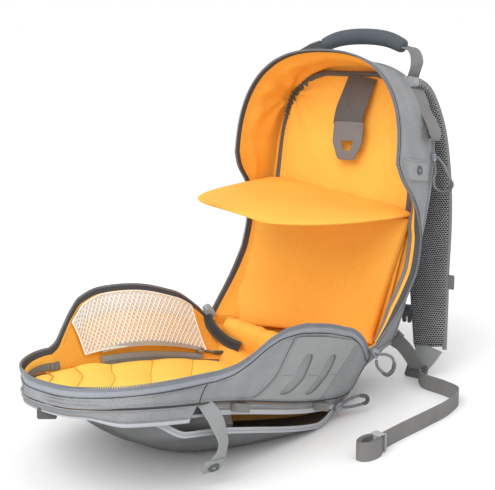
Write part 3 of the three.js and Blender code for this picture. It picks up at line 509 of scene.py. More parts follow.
def front_strip(inset, low, high):
    """Wall of the front pocket below the lid's floor, drawn in by an inset and tucked up at the tip."""

    def at(s, h):
        station = lid_station(s)
        base = station["base"]
        tuck = POCKET["tuck"] * ease(s, 0.412, 0.458) * (1 - h)
        out = np.sign(base) * np.maximum(np.abs(base) - inset, 0)
        return from_lid(out, station["t"] - 0.6 * tuck, lerp(low, high, h) + 0.9 * tuck)

    return at


bottom_at = {name: smooth(BOTTOM_SECTIONS, "p", name) for name in BOTTOM_SECTIONS if name != "p"}


def bottom_wall(p, q):
    """Outer face of the rounded bottom, flattened where it stands."""
    angle = (np.clip(q, 0, 1) - 0.5) * math.pi
    across = np.sign(angle) * np.abs(np.sin(angle)) ** (2 / BOTTOM_POWER)
    climb = 1 - np.abs(np.cos(angle)) ** (2 / BOTTOM_POWER)
    y = lerp(bottom_at["mid_y"](p), bottom_at["edge_y"](p), climb)
    z = lerp(bottom_at["mid_z"](p), bottom_at["edge_z"](p), climb)
    return points_of(across * bottom_at["half"](p), y, np.maximum(z, FLOOR))


def normals(surface, s, h):
    """Outward directions of a surface."""
    e = 0.002
    along = surface(np.minimum(s + e, 1), h) - surface(np.maximum(s - e, 0), h)
    across = surface(s, h + e) - surface(s, h - e)
    return unit(np.cross(across, along))


def unit(vectors):
    """Vectors scaled to a length of one."""
    size = np.linalg.norm(vectors, axis=-1, keepdims=True)
    return vectors / np.where(size == 0, 1, size)


def offset(surface, s, h, distance):
    """Points of a surface, moved along its outward direction."""
    return surface(s, h) + normals(surface, s, h) * np.asarray(distance)[..., None]


NOISE_MIX = (73856093, 19349663, 83492791)
NOISE_SEED = 97531
NOISE_END = 1274126177


def ripple(points, size, seed):
    """Smooth noise of -1 to 1 over points, with lumps of about the given size."""
    place = points / size + seed * 17.13
    cell = np.floor(place).astype(np.int64)
    f = place - cell
    f = f * f * (3 - 2 * f)
    total = 0
    for corner in np.ndindex(2, 2, 2):
        x, y, z = np.moveaxis((cell + np.array(corner)) * np.array(NOISE_MIX), -1, 0)
        mixed = x ^ y ^ z ^ (seed * NOISE_SEED)
        with np.errstate(over="ignore"):
            mixed = (mixed ^ (mixed >> 13)) * NOISE_END
        value = ((mixed >> 8) & 0xFFFF) / 32767.5 - 1
        share = np.prod(np.where(np.array(corner) == 1, f, 1 - f), axis=-1)
        total = total + value * share
    return total


# Meshes from grids and paths.


def to_part(points):
    """Points about the hinge, in millimetres, as points of the part, in metres."""
    return (np.asarray(points, float) + HINGE) / 1000


def grid(columns, rows):
    """Two arrays that run from 0 to 1 over a grid."""
    return np.meshgrid(np.linspace(0, 1, columns + 1), np.linspace(0, 1, rows + 1), indexing="ij")


def show(name, data):
    """A new object in the scene."""
    made = bpy.data.objects.new(name, data)
    bpy.context.scene.collection.objects.link(made)
    return made


def baked(carrier):
    """What an object shows, as a plain mesh. The object itself goes."""
    bpy.context.view_layer.update()
    mesh = bpy.data.meshes.new_from_object(carrier.evaluated_get(bpy.context.evaluated_depsgraph_get()))
    bpy.data.objects.remove(carrier)
    return mesh


def piece(name, points, faces, finish, nodes=(), uv=None, sharp=40):
    """A finished mesh object that rides on the pack and stands for the named solids."""
    corners = to_part(points)
    mesh = bpy.data.meshes.new(name)
    mesh.from_pydata(corners.tolist(), [], [list(face) for face in faces])
    if uv is not None:
        layer = mesh.uv_layers.new(name="cloth")
        index = np.empty(len(mesh.loops), dtype=np.int32)
        mesh.loops.foreach_get("vertex_index", index)
        layer.data.foreach_set("uv", (np.asarray(uv, float)[index] / 1000).astype(np.float32).ravel())
    return dress(name, mesh, finish, nodes, sharp)


def dress(name, mesh, finish, nodes=(), sharp=40):
    """A mesh in the part's frame as an object with its finish, on the pack's one body."""
    mesh.materials.clear()
    mesh.materials.append(material(finish))
    mesh.shade_smooth()
    mesh.set_sharp_from_angle(angle=math.radians(sharp))
    made = show(name, mesh)
    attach(made, "root")
    if nodes:
        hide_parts(*nodes)
    return made


def signed_volume(points, faces):
    """Volume inside a closed mesh, below zero where its faces point inwards."""
    total = 0.0
    for face in faces:
        for k in range(1, len(face) - 1):
            total += np.dot(points[face[0]], np.cross(points[face[k]], points[face[k + 1]]))
    return total


def outward(points, faces):
    """The faces, turned round where they point inwards."""
    return [face[::-1] for face in faces] if signed_volume(points, faces) < 0 else faces


def spans(points):
    """Distances along both ways of a grid of points, as a cloth's own coordinates."""
    along = np.linalg.norm(np.diff(points, axis=0), axis=-1).mean(axis=1)
    across = np.linalg.norm(np.diff(points, axis=1), axis=-1)
    u = np.append(0, np.cumsum(along))[:, None] * np.ones(points.shape[1])
    v = np.concatenate([np.zeros((points.shape[0], 1)), np.cumsum(across, axis=1)], axis=1)
    return np.stack([u, v], axis=-1).reshape(-1, 2)


def shell(name, outer, inner, finish, nodes=(), keep=None, sharp=40):
    """A closed layer of cloth between two grids of points. Cells that keep refuses are cut out."""
    columns, rows = outer.shape[0] - 1, outer.shape[1] - 1
    across = rows + 1
    count = (columns + 1) * across
    kept = np.zeros((columns + 2, rows + 2), bool)
    kept[1:-1, 1:-1] = True if keep is None else keep
    faces = []
    for i in range(columns):
        for j in range(rows):
            if not kept[i + 1, j + 1]:
                continue
            a = i * across + j
            b = a + across
            faces.append((a, b, b + 1, a + 1))
            faces.append((a + count, a + 1 + count, b + 1 + count, b + count))
            for there, p, q in (
                (kept[i + 1, j], a, b),
                (kept[i + 2, j + 1], b, b + 1),
                (kept[i + 1, j + 2], b + 1, a + 1),
                (kept[i, j + 1], a + 1, a),
            ):
                if not there:
                    faces.append((q, p, p + count, q + count))
    points = np.concatenate([outer.reshape(-1, 3), inner.reshape(-1, 3)])
    uv = np.concatenate([spans(outer), spans(outer)])
    used = np.unique([corner for face in faces for corner in face])
    place = np.full(len(points), -1)
    place[used] = np.arange(len(used))
    faces = [tuple(int(place[corner]) for corner in face) for face in faces]
    points, uv = points[used], uv[used]
    return piece(name, points, outward(points, faces), finish, nodes, uv, sharp)


def cloth(name, surface, s, h, outer, inner, finish, nodes=(), keep=None):
    """A layer of cloth on a surface, between two offsets."""
    return shell(name, offset(surface, s, h, outer), offset(surface, s, h, inner), finish, nodes, keep)


def subdivide(made):
    """One level of smoothing."""
    step = made.modifiers.new("smooth", "SUBSURF")
    step.levels = 1
    step.render_levels = 1


def hold_inside(made, surface, s, h, depth):
    """Moves a piece's vertices so that none lies less than a depth inside a surface."""
    skin = to_part(surface(s, h)).reshape(-1, 3)
    out = normals(surface, s, h).reshape(-1, 3)
    tree = kdtree.KDTree(len(skin))
    for index, place in enumerate(skin):
        tree.insert(place, index)
    tree.balance()
    for vertex in made.data.vertices:
        place, index, _ = tree.find(vertex.co)
        away = Vector(out[index])
        excess = (vertex.co - place).dot(away) + depth / 1000
        if excess > 0:
            vertex.co -= away * excess
    made.data.update()


def line_of(rows, step=3.0):
    """A smooth line through a table's points, with corners about a step apart."""
    return curve_through(points_of(rows["x"], rows["y"], rows["z"]), step)


def body_line(rows, step):
    """The same through a table's points in body coordinates."""
    return curve_through(from_body(rows["u"], rows["v"], rows["w"]), step)


def curve_through(through, step=3.0):
    """A smooth line through points, with corners about a step apart."""
    through = np.asarray(through, float)
    chord = np.linalg.norm(np.diff(through, axis=0), axis=1)
    at = np.append(0, np.cumsum(np.sqrt(chord)))
    slope = np.gradient(through, at, axis=0)
    count = max(int(chord.sum() / step), len(through))
    return np.array([between(at, through, slope, value) for value in np.linspace(0, at[-1], count + 1)])


def tangents(line):
    """Directions along a line."""
    return unit(np.gradient(line, axis=0))


def along_table(rows, name, count):
    """A table's column, spread over a count of places."""
    return np.interp(np.linspace(0, 1, count), np.linspace(0, 1, len(rows[name])), rows[name])


def oval(sides, power=2.0):
    """A closed section of unit half width and half height, rounder or squarer with its power."""
    angle = np.linspace(0, 2 * math.pi, sides, endpoint=False)
    c, s = np.cos(angle), np.sin(angle)
    return np.stack([np.sign(c) * np.abs(c) ** (2 / power), np.sign(s) * np.abs(s) ** (2 / power)], axis=-1)


def flat_section(sides=4):
    """A flat strap's section: straight faces and rounded selvedges."""
    x = np.linspace(-0.96, 0.96, sides + 1)
    top = np.stack([x, np.ones(sides + 1)], axis=-1)
    foot = np.stack([x[::-1], -np.ones(sides + 1)], axis=-1)
    return np.concatenate([[(-1, 0)], top, [(1, 0)], foot])


def sweep(name, line, side, section, widths, heights, finish, nodes=(), closed=False, sharp=40):
    """A section carried along a line, its first axis laid along the side directions."""
    line = np.asarray(line, float)
    count, ring = len(line), len(section)
    go = tangents(line)
    if closed:
        go = unit(np.roll(line, -1, axis=0) - np.roll(line, 1, axis=0))
    side = np.broadcast_to(np.asarray(side, float), line.shape)
    side = unit(side - go * np.sum(side * go, axis=-1, keepdims=True))
    up = np.cross(go, side)
    wide = np.broadcast_to(np.asarray(widths, float) / 2, (count,))[:, None, None]
    tall = np.broadcast_to(np.asarray(heights, float) / 2, (count,))[:, None, None]
    x, y = section[:, 0][None, :, None], section[:, 1][None, :, None]
    points = line[:, None, :] + side[:, None, :] * x * wide + up[:, None, :] * y * tall
    faces = []
    for i in range(count if closed else count - 1):
        for k in range(ring):
            a, b = i * ring + k, i * ring + (k + 1) % ring
            c, d = ((i + 1) % count) * ring + (k + 1) % ring, ((i + 1) % count) * ring + k
            faces.append((a, b, c, d))
    if not closed:
        faces.append(tuple(range(ring - 1, -1, -1)))
        faces.append(tuple((count - 1) * ring + k for k in range(ring)))
    flat = points.reshape(-1, 3)
    run = np.append(0, np.cumsum(np.linalg.norm(np.diff(line, axis=0), axis=1)))
    uv = np.stack([np.repeat(run, ring), (x * wide * np.ones((count, ring, 1))).reshape(-1)], axis=-1)
    return piece(name, flat, outward(flat, faces), finish, nodes, uv, sharp)


def strap(name, line, side, width, thickness, finish, nodes=()):
    """A flat strap along a line."""
    return sweep(name, line, side, flat_section(), width, thickness, finish, nodes)


def tube(name, line, radius, finish, nodes=(), sides=10, closed=False):
    """A round tube along a line."""
    go = tangents(np.asarray(line, float))
    helper = np.where(np.abs(go[:, 2:3]) > 0.9, [[1.0, 0.0, 0.0]], [[0.0, 0.0, 1.0]])
    side = unit(np.cross(go, helper))
    wide = 2 * np.asarray(radius)
    return sweep(name, line, side, oval(sides), wide, wide, finish, nodes, closed)


def plate(name, outline, holes, thickness, round_edge, place, finish, nodes=()):
    """A flat plate with holes and rounded edges. place turns its own millimetres into points."""
    shape = bpy.data.curves.new(name, "CURVE")
    shape.dimensions = "2D"
    shape.fill_mode = "BOTH"
    shape.extrude = thickness / 2 - round_edge
    shape.bevel_depth = round_edge
    shape.bevel_resolution = 2
    for loop in [outline, *holes]:
        spline = shape.splines.new("POLY")
        spline.points.add(len(loop) - 1)
        for point, (x, y) in zip(spline.points, loop):
            point.co = (x, y, 0, 1)
        spline.use_cyclic_u = True
    mesh = baked(show(name + "_outline", shape))
    flat = np.array([corner.co for corner in mesh.vertices], float)
    faces = [tuple(face.vertices) for face in mesh.polygons]
    bpy.data.meshes.remove(mesh)
    return weld(piece(name, place(flat), faces, finish, nodes, flat[:, :2], 50))


def weld(made):
    """Joins corners that share a place and turns all faces outwards."""
    work = bmesh.new()
    work.from_mesh(made.data)
    bmesh.ops.remove_doubles(work, verts=work.verts, dist=1e-6)
    bmesh.ops.recalc_face_normals(work, faces=work.faces)
    work.to_mesh(made.data)
    work.free()
    made.data.set_sharp_from_angle(angle=math.radians(50))
    return made


def rounded(points, radius, steps=4):
    """A closed outline with its corners rounded."""
    points = [np.array(p, float) for p in points]
    out = []
    for i, corner in enumerate(points):
        before, after = points[i - 1] - corner, points[(i + 1) % len(points)] - corner
        reach = min(radius, np.linalg.norm(before) / 2, np.linalg.norm(after) / 2)
        start = corner + before / np.linalg.norm(before) * reach
        end = corner + after / np.linalg.norm(after) * reach
        for f in np.linspace(0, 1, steps + 1):
            out.append(tuple(start * (1 - f) ** 2 + corner * 2 * f * (1 - f) + end * f * f))
    return out


def both_sides(middle, rows):
    """An outline from the half widths and heights of its left side, mirrored about a middle."""
    return [(middle - x, y) for x, y in rows] + [(middle + x, y) for x, y in reversed(rows)]


def rounded_box(half, low, high, radius):
    """A rounded rectangle from a low to a high edge."""
    return rounded([(-half, low), (half, low), (half, high), (-half, high)], radius)


def square_run(low, high, count):
    """A run along the four edges of a square, as two arrays."""
    run = np.linspace(0, 4, count)
    return [
        np.interp(run, range(5), [low, *stops, low]) for stops in ((high, high, low), (low, high, high))
    ]


def level(height):
    """One height for a whole sheet."""
    return lambda q, along, across: height


def placed_on(origin, x_axis, y_axis):
    """Turns a plate's own coordinates into points on a plane."""
    origin, x_axis = np.array(origin, float), unit(np.array(x_axis, float))
    z_axis = unit(np.cross(x_axis, np.array(y_axis, float)))
    y_axis = np.cross(z_axis, x_axis)
    return lambda flat: origin + flat[:, :1] * x_axis + flat[:, 1:2] * y_axis + flat[:, 2:3] * z_axis


# Rows of stitches, teeth and threads, made by Geometry Nodes.


def node(tree, kind, values=None, **settings):
    """A node with its settings, its values and its links."""
    made = tree.nodes.new(kind)
    for name, value in settings.items():
        setattr(made, name, value)
    for key, value in (values or {}).items():
        if isinstance(value, bpy.types.NodeSocket):
            tree.links.new(value, made.inputs[key])
        else:
            made.inputs[key].default_value = value
    return made


def math_node(tree, operation, first, second=0.0):
    """The output of a Math node."""
    return node(tree, "ShaderNodeMath", {0: first, 1: second}, operation=operation).outputs[0]


def new_tree(name, kind, inputs, outputs):
    """An empty node group with named sockets."""
    tree = bpy.data.node_groups.new(name, kind)
    for label, socket in inputs.items():
        tree.interface.new_socket(label, in_out="INPUT", socket_type=socket)
    for label, socket in outputs.items():
        tree.interface.new_socket(label, in_out="OUTPUT", socket_type=socket)
    return tree, tree.nodes.new("NodeGroupInput"), tree.nodes.new("NodeGroupOutput")


GEOMETRY = "NodeSocketGeometry"
FLOAT = "NodeSocketFloat"
VECTOR = "NodeSocketVector"
MATERIAL = "NodeSocketMaterial"


def finish_tree(tree, start, end, geometry):
    """Ends a tree: its instances made real and its finish set."""
    real = node(tree, "GeometryNodeRealizeInstances", {"Geometry": geometry})
    values = {"Geometry": real.outputs["Geometry"], "Material": start.outputs["Finish"]}
    dressed = node(tree, "GeometryNodeSetMaterial", values)
    tree.links.new(dressed.outputs["Geometry"], end.inputs["Mesh"])
    return tree


def finish_rows(tree, start, end, shape):
    """Sets a shape on each corner of the input, turned to the row, as one mesh."""
    ways = {}
    for axis, name in enumerate(("along", "out")):
        made = node(tree, "GeometryNodeInputNamedAttribute", {"Name": name}, data_type="FLOAT_VECTOR")
        ways[axis] = made.outputs["Attribute"]
    turn = node(tree, "FunctionNodeAxesToRotation", ways, primary_axis="X", secondary_axis="Z")
    values = {"Points": start.outputs["Row"], "Instance": shape, "Rotation": turn.outputs[0]}
    set_on = node(tree, "GeometryNodeInstanceOnPoints", values)
    return finish_tree(tree, start, end, set_on.outputs["Instances"])


def stitch_tree():
    """Geometry Nodes: a thread laid on each corner of a row."""
    inputs = {"Row": GEOMETRY, "Length": FLOAT, "Thickness": FLOAT, "Finish": MATERIAL}
    tree, start, end = new_tree("stitch_row", "GeometryNodeTree", inputs, {"Mesh": GEOMETRY})
    half = math_node(tree, "MULTIPLY", start.outputs["Thickness"], 0.5)
    values = {"Vertices": 6, "Radius": half, "Depth": start.outputs["Length"]}
    thread = node(tree, "GeometryNodeMeshCylinder", values)
    turned = {"Geometry": thread.outputs["Mesh"], "Rotation": (0, math.pi / 2, 0)}
    return finish_rows(tree, start, end, node(tree, "GeometryNodeTransform", turned).outputs["Geometry"])


def tooth_tree():
    """Geometry Nodes: a tooth set on each corner of a row."""
    inputs = {"Row": GEOMETRY, "Along": FLOAT, "Across": FLOAT, "Height": FLOAT, "Finish": MATERIAL}
    tree, start, end = new_tree("tooth_row", "GeometryNodeTree", inputs, {"Mesh": GEOMETRY})
    sides = {axis: start.outputs[name] for axis, name in zip("XYZ", ("Along", "Across", "Height"))}
    size = node(tree, "ShaderNodeCombineXYZ", sides)
    tooth = node(tree, "GeometryNodeMeshCube", {"Size": size.outputs[0]})
    return finish_rows(tree, start, end, tooth.outputs["Mesh"])


def net_tree():
    """Geometry Nodes: a thread along each edge of a lattice."""
    inputs = {"Row": GEOMETRY, "Thickness": FLOAT, "Finish": MATERIAL}
    tree, start, end = new_tree("net_threads", "GeometryNodeTree", inputs, {"Mesh": GEOMETRY})
    half = math_node(tree, "MULTIPLY", start.outputs["Thickness"], 0.5)
    lines = node(tree, "GeometryNodeMeshToCurve", {"Mesh": start.outputs["Row"]})
    ring = node(tree, "GeometryNodeCurvePrimitiveCircle", {"Resolution": 4, "Radius": half})
    values = {"Curve": lines.outputs["Curve"], "Profile Curve": ring.outputs["Curve"], "Fill Caps": True}
    threads = node(tree, "GeometryNodeCurveToMesh", values)
    return finish_tree(tree, start, end, threads.outputs["Mesh"])


TREES = {"stitch_row": stitch_tree, "tooth_row": tooth_tree, "net_threads": net_tree}


def grow(name, points, edges, vectors, tree_name, values, finish, nodes=()):
    """Runs a Geometry Nodes tree over points or edges and keeps the result as a plain mesh."""
    mesh = bpy.data.meshes.new(name)
    mesh.from_pydata(to_part(points).tolist(), edges, [])
    for label, data in vectors.items():
        layer = mesh.attributes.new(label, "FLOAT_VECTOR", "POINT")
        layer.data.foreach_set("vector", np.asarray(data, np.float32).ravel())
    carrier = show(name, mesh)
    tree = bpy.data.node_groups.get(tree_name) or TREES[tree_name]()
    step = carrier.modifiers.new(tree_name, "NODES")
    step.node_group = tree
    sockets = {item.name: item.identifier for item in tree.interface.items_tree if item.in_out == "INPUT"}
    for label, value in values.items():
        step[sockets[label]] = value / 1000
    step[sockets["Finish"]] = material(finish)
    made = baked(carrier)
    bpy.data.meshes.remove(mesh)
    made.name = name
    if not made.polygons:
        raise RuntimeError(name + " came out empty")
    return dress(name, made, finish, nodes)


def spaced(line, out, pitch):
    """Points a pitch apart along a line, with their directions along and outward."""
    line, out = np.asarray(line, float), np.broadcast_to(out, np.shape(line))
    run = np.append(0, np.cumsum(np.linalg.norm(np.diff(line, axis=0), axis=1)))
    at = np.arange(pitch / 2, run[-1], pitch)

    def along(rows, where):
        return np.stack([np.interp(where, run, column) for column in rows.T], axis=-1)

    ahead, behind = along(line, np.minimum(at + 1, run[-1])), along(line, np.maximum(at - 1, 0))
    return along(line, at), unit(ahead - behind), unit(along(out, at))


SEAMS = {"grey_thread": [], "orange_thread": []}


def seam(thread, line, out):
    """Notes a line that the stitching operator sews later."""
    SEAMS[thread].append((np.asarray(line, float), np.broadcast_to(out, np.shape(line))))


def seam_on(thread, surface, s, h, distance):
    """Notes a seam on a surface, at an offset along its outward direction."""
    out = normals(surface, s, h)
    distance = np.asarray(distance, float)[..., None]
    seam(thread, surface(s, h) + out * distance, out * np.where(distance < 0, -1, 1))


def teeth(name, line, out, pitch, along, across, height, finish="teeth"):
    """A row of zip teeth along a line."""
    points, go, up = spaced(line, out, pitch)
    values = {"Along": along, "Across": across, "Height": height}
    return grow(name, points, [], {"along": go, "out": up}, "tooth_row", values, finish)


def net(name, surface_points, columns, rows, thickness, finish, nodes=()):
    """A net of diamonds over a patch, whose points come from shares of its two sides."""
    index, points, edges = {}, [], []

    def corner(i, j):
        if (i, j) not in index:
            index[(i, j)] = len(points)
            points.append((i / columns, j / rows))
        return index[(i, j)]

    for i in range(columns):
        for j in range(rows):
            a, b = ((i, j), (i + 1, j + 1)) if (i + j) % 2 == 0 else ((i + 1, j), (i, j + 1))
            edges.append((corner(*a), corner(*b)))
    places = surface_points(*np.array(points).T)
    return grow(name, places, edges, {}, "net_threads", {"Thickness": thickness}, finish, nodes)


# Finishes, as procedural materials.


def group_tree(name, scales, outputs):
    """An empty shader group over coordinates, with named scales and values."""
    inputs = {"Vector": VECTOR, **{label: FLOAT for label in scales}}
    return new_tree(name, "ShaderNodeTree", inputs, {label: FLOAT for label in outputs})


def scaled(tree, start):
    """A group's coordinates times its scale, whole and by axis."""
    values = {0: start.outputs["Vector"], "Scale": start.outputs["Scale"]}
    whole = node(tree, "ShaderNodeVectorMath", values, operation="SCALE").outputs[0]
    return whole, node(tree, "ShaderNodeSeparateXYZ", {0: whole}).outputs


def ridges(tree, value):
    """Round ridges, one to each unit of a value."""
    return math_node(tree, "ABSOLUTE", math_node(tree, "SINE", math_node(tree, "MULTIPLY", value, math.pi)))


def weave_group():
    """Shader group: plain weave of crossing threads."""
    tree, start, end = group_tree("plain_weave", ["Scale"], ["Height", "Tone"])
    place, parts = scaled(tree, start)
    over = node(tree, "ShaderNodeTexChecker", {"Vector": place, "Scale": 1.0}).outputs["Fac"]
    values = {0: over, 2: ridges(tree, parts["X"]), 3: ridges(tree, parts["Y"])}
    tree.links.new(node(tree, "ShaderNodeMix", values).outputs[0], end.inputs["Height"])
    tree.links.new(over, end.inputs["Tone"])
    return tree


def mottle_group():
    """Shader group: soft patches and fine flecks, as on dyed cloth."""
    tree, start, end = group_tree("mottle", ["Patches", "Flecks"], ["Tone"])
    noises = []
    for label in ("Patches", "Flecks"):
        values = {"Vector": start.outputs["Vector"], "Scale": start.outputs[label], "Detail": 2.0}
        noises.append(node(tree, "ShaderNodeTexNoise", values).outputs["Fac"])
    mixed = node(tree, "ShaderNodeMix", {0: 0.5, 2: noises[0], 3: noises[1]})
    spread = node(tree, "ShaderNodeMapRange", {"Value": mixed.outputs[0], "From Min": 0.3, "From Max": 0.7})
    tree.links.new(spread.outputs[0], end.inputs["Tone"])
    return tree


def rib_group():
    """Shader group: ribs across a strap, with the ply of its threads."""
    tree, start, end = group_tree("strap_ribs", ["Scale"], ["Height"])
    parts = scaled(tree, start)[1]
    ply = math_node(tree, "PINGPONG", math_node(tree, "MULTIPLY", parts["Y"], 0.55), 1.0)
    tree.links.new(ridges(tree, math_node(tree, "ADD", parts["X"], ply)), end.inputs["Height"])
    return tree


def spacer_group():
    """Shader group: staggered round holes of an air mesh."""
    tree, start, end = group_tree("spacer_holes", ["Scale"], ["Height"])
    parts = scaled(tree, start)[1]
    up = math_node(tree, "MULTIPLY", parts["X"], 1.35)
    odd = math_node(tree, "MODULO", math_node(tree, "FLOOR", up), 2.0)
    shifted = math_node(tree, "ADD", parts["Y"], math_node(tree, "MULTIPLY", odd, 0.5))
    squares = []
    for value in (shifted, up):
        off = math_node(tree, "SUBTRACT", math_node(tree, "FRACT", value), 0.5)
        squares.append(math_node(tree, "POWER", math_node(tree, "ABSOLUTE", off), 2.0))
    far = math_node(tree, "SQRT", math_node(tree, "ADD", *squares))
    values = {"Value": far, "From Min": 0.52, "From Max": 0.36}
    hole = node(tree, "ShaderNodeMapRange", values, interpolation_type="SMOOTHSTEP").outputs[0]
    tree.links.new(math_node(tree, "SUBTRACT", 1.0, hole), end.inputs["Height"])
    return tree


def ripstop_group():
    """Shader group: the raised grid of a ripstop lining."""
    tree, start, end = group_tree("ripstop", ["Scale"], ["Line"])
    parts = scaled(tree, start)[1]
    lines = []
    for axis in ("X", "Y"):
        off = math_node(tree, "SUBTRACT", math_node(tree, "FRACT", parts[axis]), 0.5)
        values = {"Value": math_node(tree, "ABSOLUTE", off), "From Min": 0.14, "From Max": 0.04}
        lines.append(node(tree, "ShaderNodeMapRange", values).outputs[0])
    tree.links.new(math_node(tree, "MAXIMUM", *lines), end.inputs["Line"])
    return tree


GROUPS = {
    "plain_weave": weave_group,
    "mottle": mottle_group,
    "strap_ribs": rib_group,
    "spacer_holes": spacer_group,
    "ripstop": ripstop_group,
}


def group(tree, name, values):
    """A shared shader group placed in a material."""
    shared = bpy.data.node_groups.get(name) or GROUPS[name]()
    return node(tree, "ShaderNodeGroup", values, node_tree=shared).outputs


def start_material(name, constants):
    """A material with its Principled shader's constant values set."""
    made = bpy.data.materials.new("pack_" + name)
    made.use_nodes = True
    shader = made.node_tree.nodes["Principled BSDF"]
    for label, value in constants.items():
        shader.inputs[label].default_value = value
    return made, made.node_tree, shader


def shades(tree, shader, tint, spread, tone):
    """Base colour that runs from a darker to a lighter shade of a tint with a tone."""
    dark = [value * (1 - spread) for value in tint] + [1]
    light = [min(value * (1 + spread), 1) for value in tint] + [1]
    mixed = node(tree, "ShaderNodeMix", {0: tone, 6: dark, 7: light}, data_type="RGBA")
    tree.links.new(mixed.outputs[2], shader.inputs["Base Color"])


def mottle(tree, patches, flecks):
    """Tone of the soft patches and flecks at a place in the part."""
    place = node(tree, "ShaderNodeTexCoord").outputs["Object"]
    return group(tree, "mottle", {"Vector": place, "Patches": patches, "Flecks": flecks})["Tone"]


def material(name):
    """A finish as a procedural material, made once and then used again."""
    made = bpy.data.materials.get("pack_" + name)
    if made:
        return made
    look = FINISHES[name]
    kind = KINDS[look["kind"]]
    constants = {"Roughness": look["rough"], "Specular IOR Level": kind["gloss"], "Metallic": kind["metal"]}
    made, tree, shader = start_material(name, constants)
    tone = height = mottle(tree, kind["patches"], kind["flecks"])
    if kind["group"]:
        cloth_place = node(tree, "ShaderNodeUVMap", uv_map="cloth").outputs[0]
        pattern = group(tree, kind["group"], {"Vector": cloth_place, "Scale": look["threads"]})
        height = pattern[kind["height"]]
        if kind["group"] == "spacer_holes":
            knit = math_node(tree, "MULTIPLY", tone, kind["share"])
            tone = math_node(tree, "MULTIPLY", height, math_node(tree, "ADD", knit, 1 - kind["share"]))
        else:
            mix = {0: kind["share"], 2: tone, 3: pattern[kind["tone"]]}
            tone = node(tree, "ShaderNodeMix", mix).outputs[0]
    shades(tree, shader, list(getattr(bpy.context.scene.pack_colours, look["tint"])), look["spread"], tone)
    values = {"Height": height, "Distance": look["depth"], "Strength": kind["bump"]}
    tree.links.new(node(tree, "ShaderNodeBump", values).outputs[0], shader.inputs["Normal"])
    return made


def named(columns, *rows):
    """Rows under named columns, each row by the name it starts with."""
    return {name: dict(zip(columns.split(), row)) for name, *row in rows}


KINDS = named(
    "group tone height share patches flecks gloss bump metal",
    ("woven", "plain_weave", "Tone", "Height", 0.3, 22, 460, 0.25, 1, 0),
    ("lining", "ripstop", "Line", "Line", 0.14, 14, 320, 0.3, 1, 0),
    ("ribbed", "strap_ribs", "Height", "Height", 0.45, 30, 700, 0.3, 1, 0),
    ("spacer", "spacer_holes", "Height", "Height", 0.3, 40, 800, 0.2, 1, 0),
    ("moulded", None, None, None, 0, 60, 1500, 0.5, 0.6, 0),
    ("enamel", None, None, None, 0, 60, 1500, 0.5, 0.6, 0.3),
)


FINISHES = named(
    "slot tint kind threads depth spread rough",
    ("nylon", "nylon", "nylon", "woven", 620, 0.0003, 0.24, 0.85),
    # Front panel: nylon darkened as painted shade.
    ("under", "nylon", "under", "woven", 620, 0.0003, 0.26, 0.85),
    ("laminate", "nylon", "laminate", "moulded", 0, 0.00005, 0.06, 0.62),
    ("lining", "lining", "lining", "lining", 380, 0.0001, 0.1, 0.75),
    ("quilt", "quilt", "quilt", "lining", 380, 0.0001, 0.1, 0.75),
    ("tape", "zip_tape", "tape", "ribbed", 1100, 0.00015, 0.14, 0.75),
    # The body's side of the zip tape, darkened as painted shade.
    ("rim_tape", "zip_tape", "rim_tape", "ribbed", 1100, 0.00015, 0.14, 0.75),
    # Tape inside the rims and at the closed zip ends, darkened as painted shade.
    ("inner_tape", "zip_tape", "inner_tape", "ribbed", 1100, 0.00015, 0.2, 0.8),
    ("teeth", "zip_tape", "teeth", "moulded", 0, 0.00003, 0.12, 0.4),
    # Near black: painted shade in sunken seams and gaps.
    ("seam", "nylon", "seam", "moulded", 0, 0.00003, 0.12, 0.9),
    ("elastic", "elastic", "elastic", "ribbed", 620, 0.0003, 0.3, 0.9),
    ("hanger", "elastic", "elastic", "woven", 700, 0.0002, 0.34, 0.9),
    ("tab", "elastic", "tab", "moulded", 0, 0.00005, 0.06, 0.6),
    ("webbing", "webbing", "webbing", "ribbed", 430, 0.0005, 0.26, 0.85),
    ("piping", "nylon", "piping", "ribbed", 900, 0.00015, 0.08, 0.8),
    ("spacer", "air_mesh", "spacer", "spacer", 270, 0.0008, 0.96, 0.9),
    ("binding", "webbing", "webbing", "ribbed", 900, 0.0002, 0.12, 0.85),
    # Painted shade in the quilted pocket's seams.
    ("quilt_line", "quilt", "quilt_line", "moulded", 0, 0.00003, 0.1, 0.8),
    ("veil", "white_mesh", "veil", "woven", 500, 0.0002, 0.06, 0.8),
    ("net", "white_mesh", "net", "moulded", 0, 0.00005, 0.04, 0.6),
    ("tricot", "white_mesh", "net", "woven", 500, 0.0002, 0.06, 0.8),
    ("dark_net", "dark_mesh", "dark_net", "moulded", 0, 0.00005, 0.2, 0.7),
    ("grip", "grip", "grip", "woven", 1400, 0.0001, 0.14, 0.8),
    ("plastic", "plastic", "plastic", "moulded", 0, 0.00004, 0.12, 0.42),
    ("metal", "zip_metal", "metal", "enamel", 0, 0.00003, 0.1, 0.4),
    ("cord", "pull_cord", "cord", "ribbed", 700, 0.0003, 0.25, 0.75),
    ("grey_thread", "nylon", "teeth", "moulded", 0, 0.00003, 0.1, 0.7),
    ("orange_thread", "lining", "lining", "moulded", 0, 0.00003, 0.1, 0.7),
)


# Pieces that several operators share.


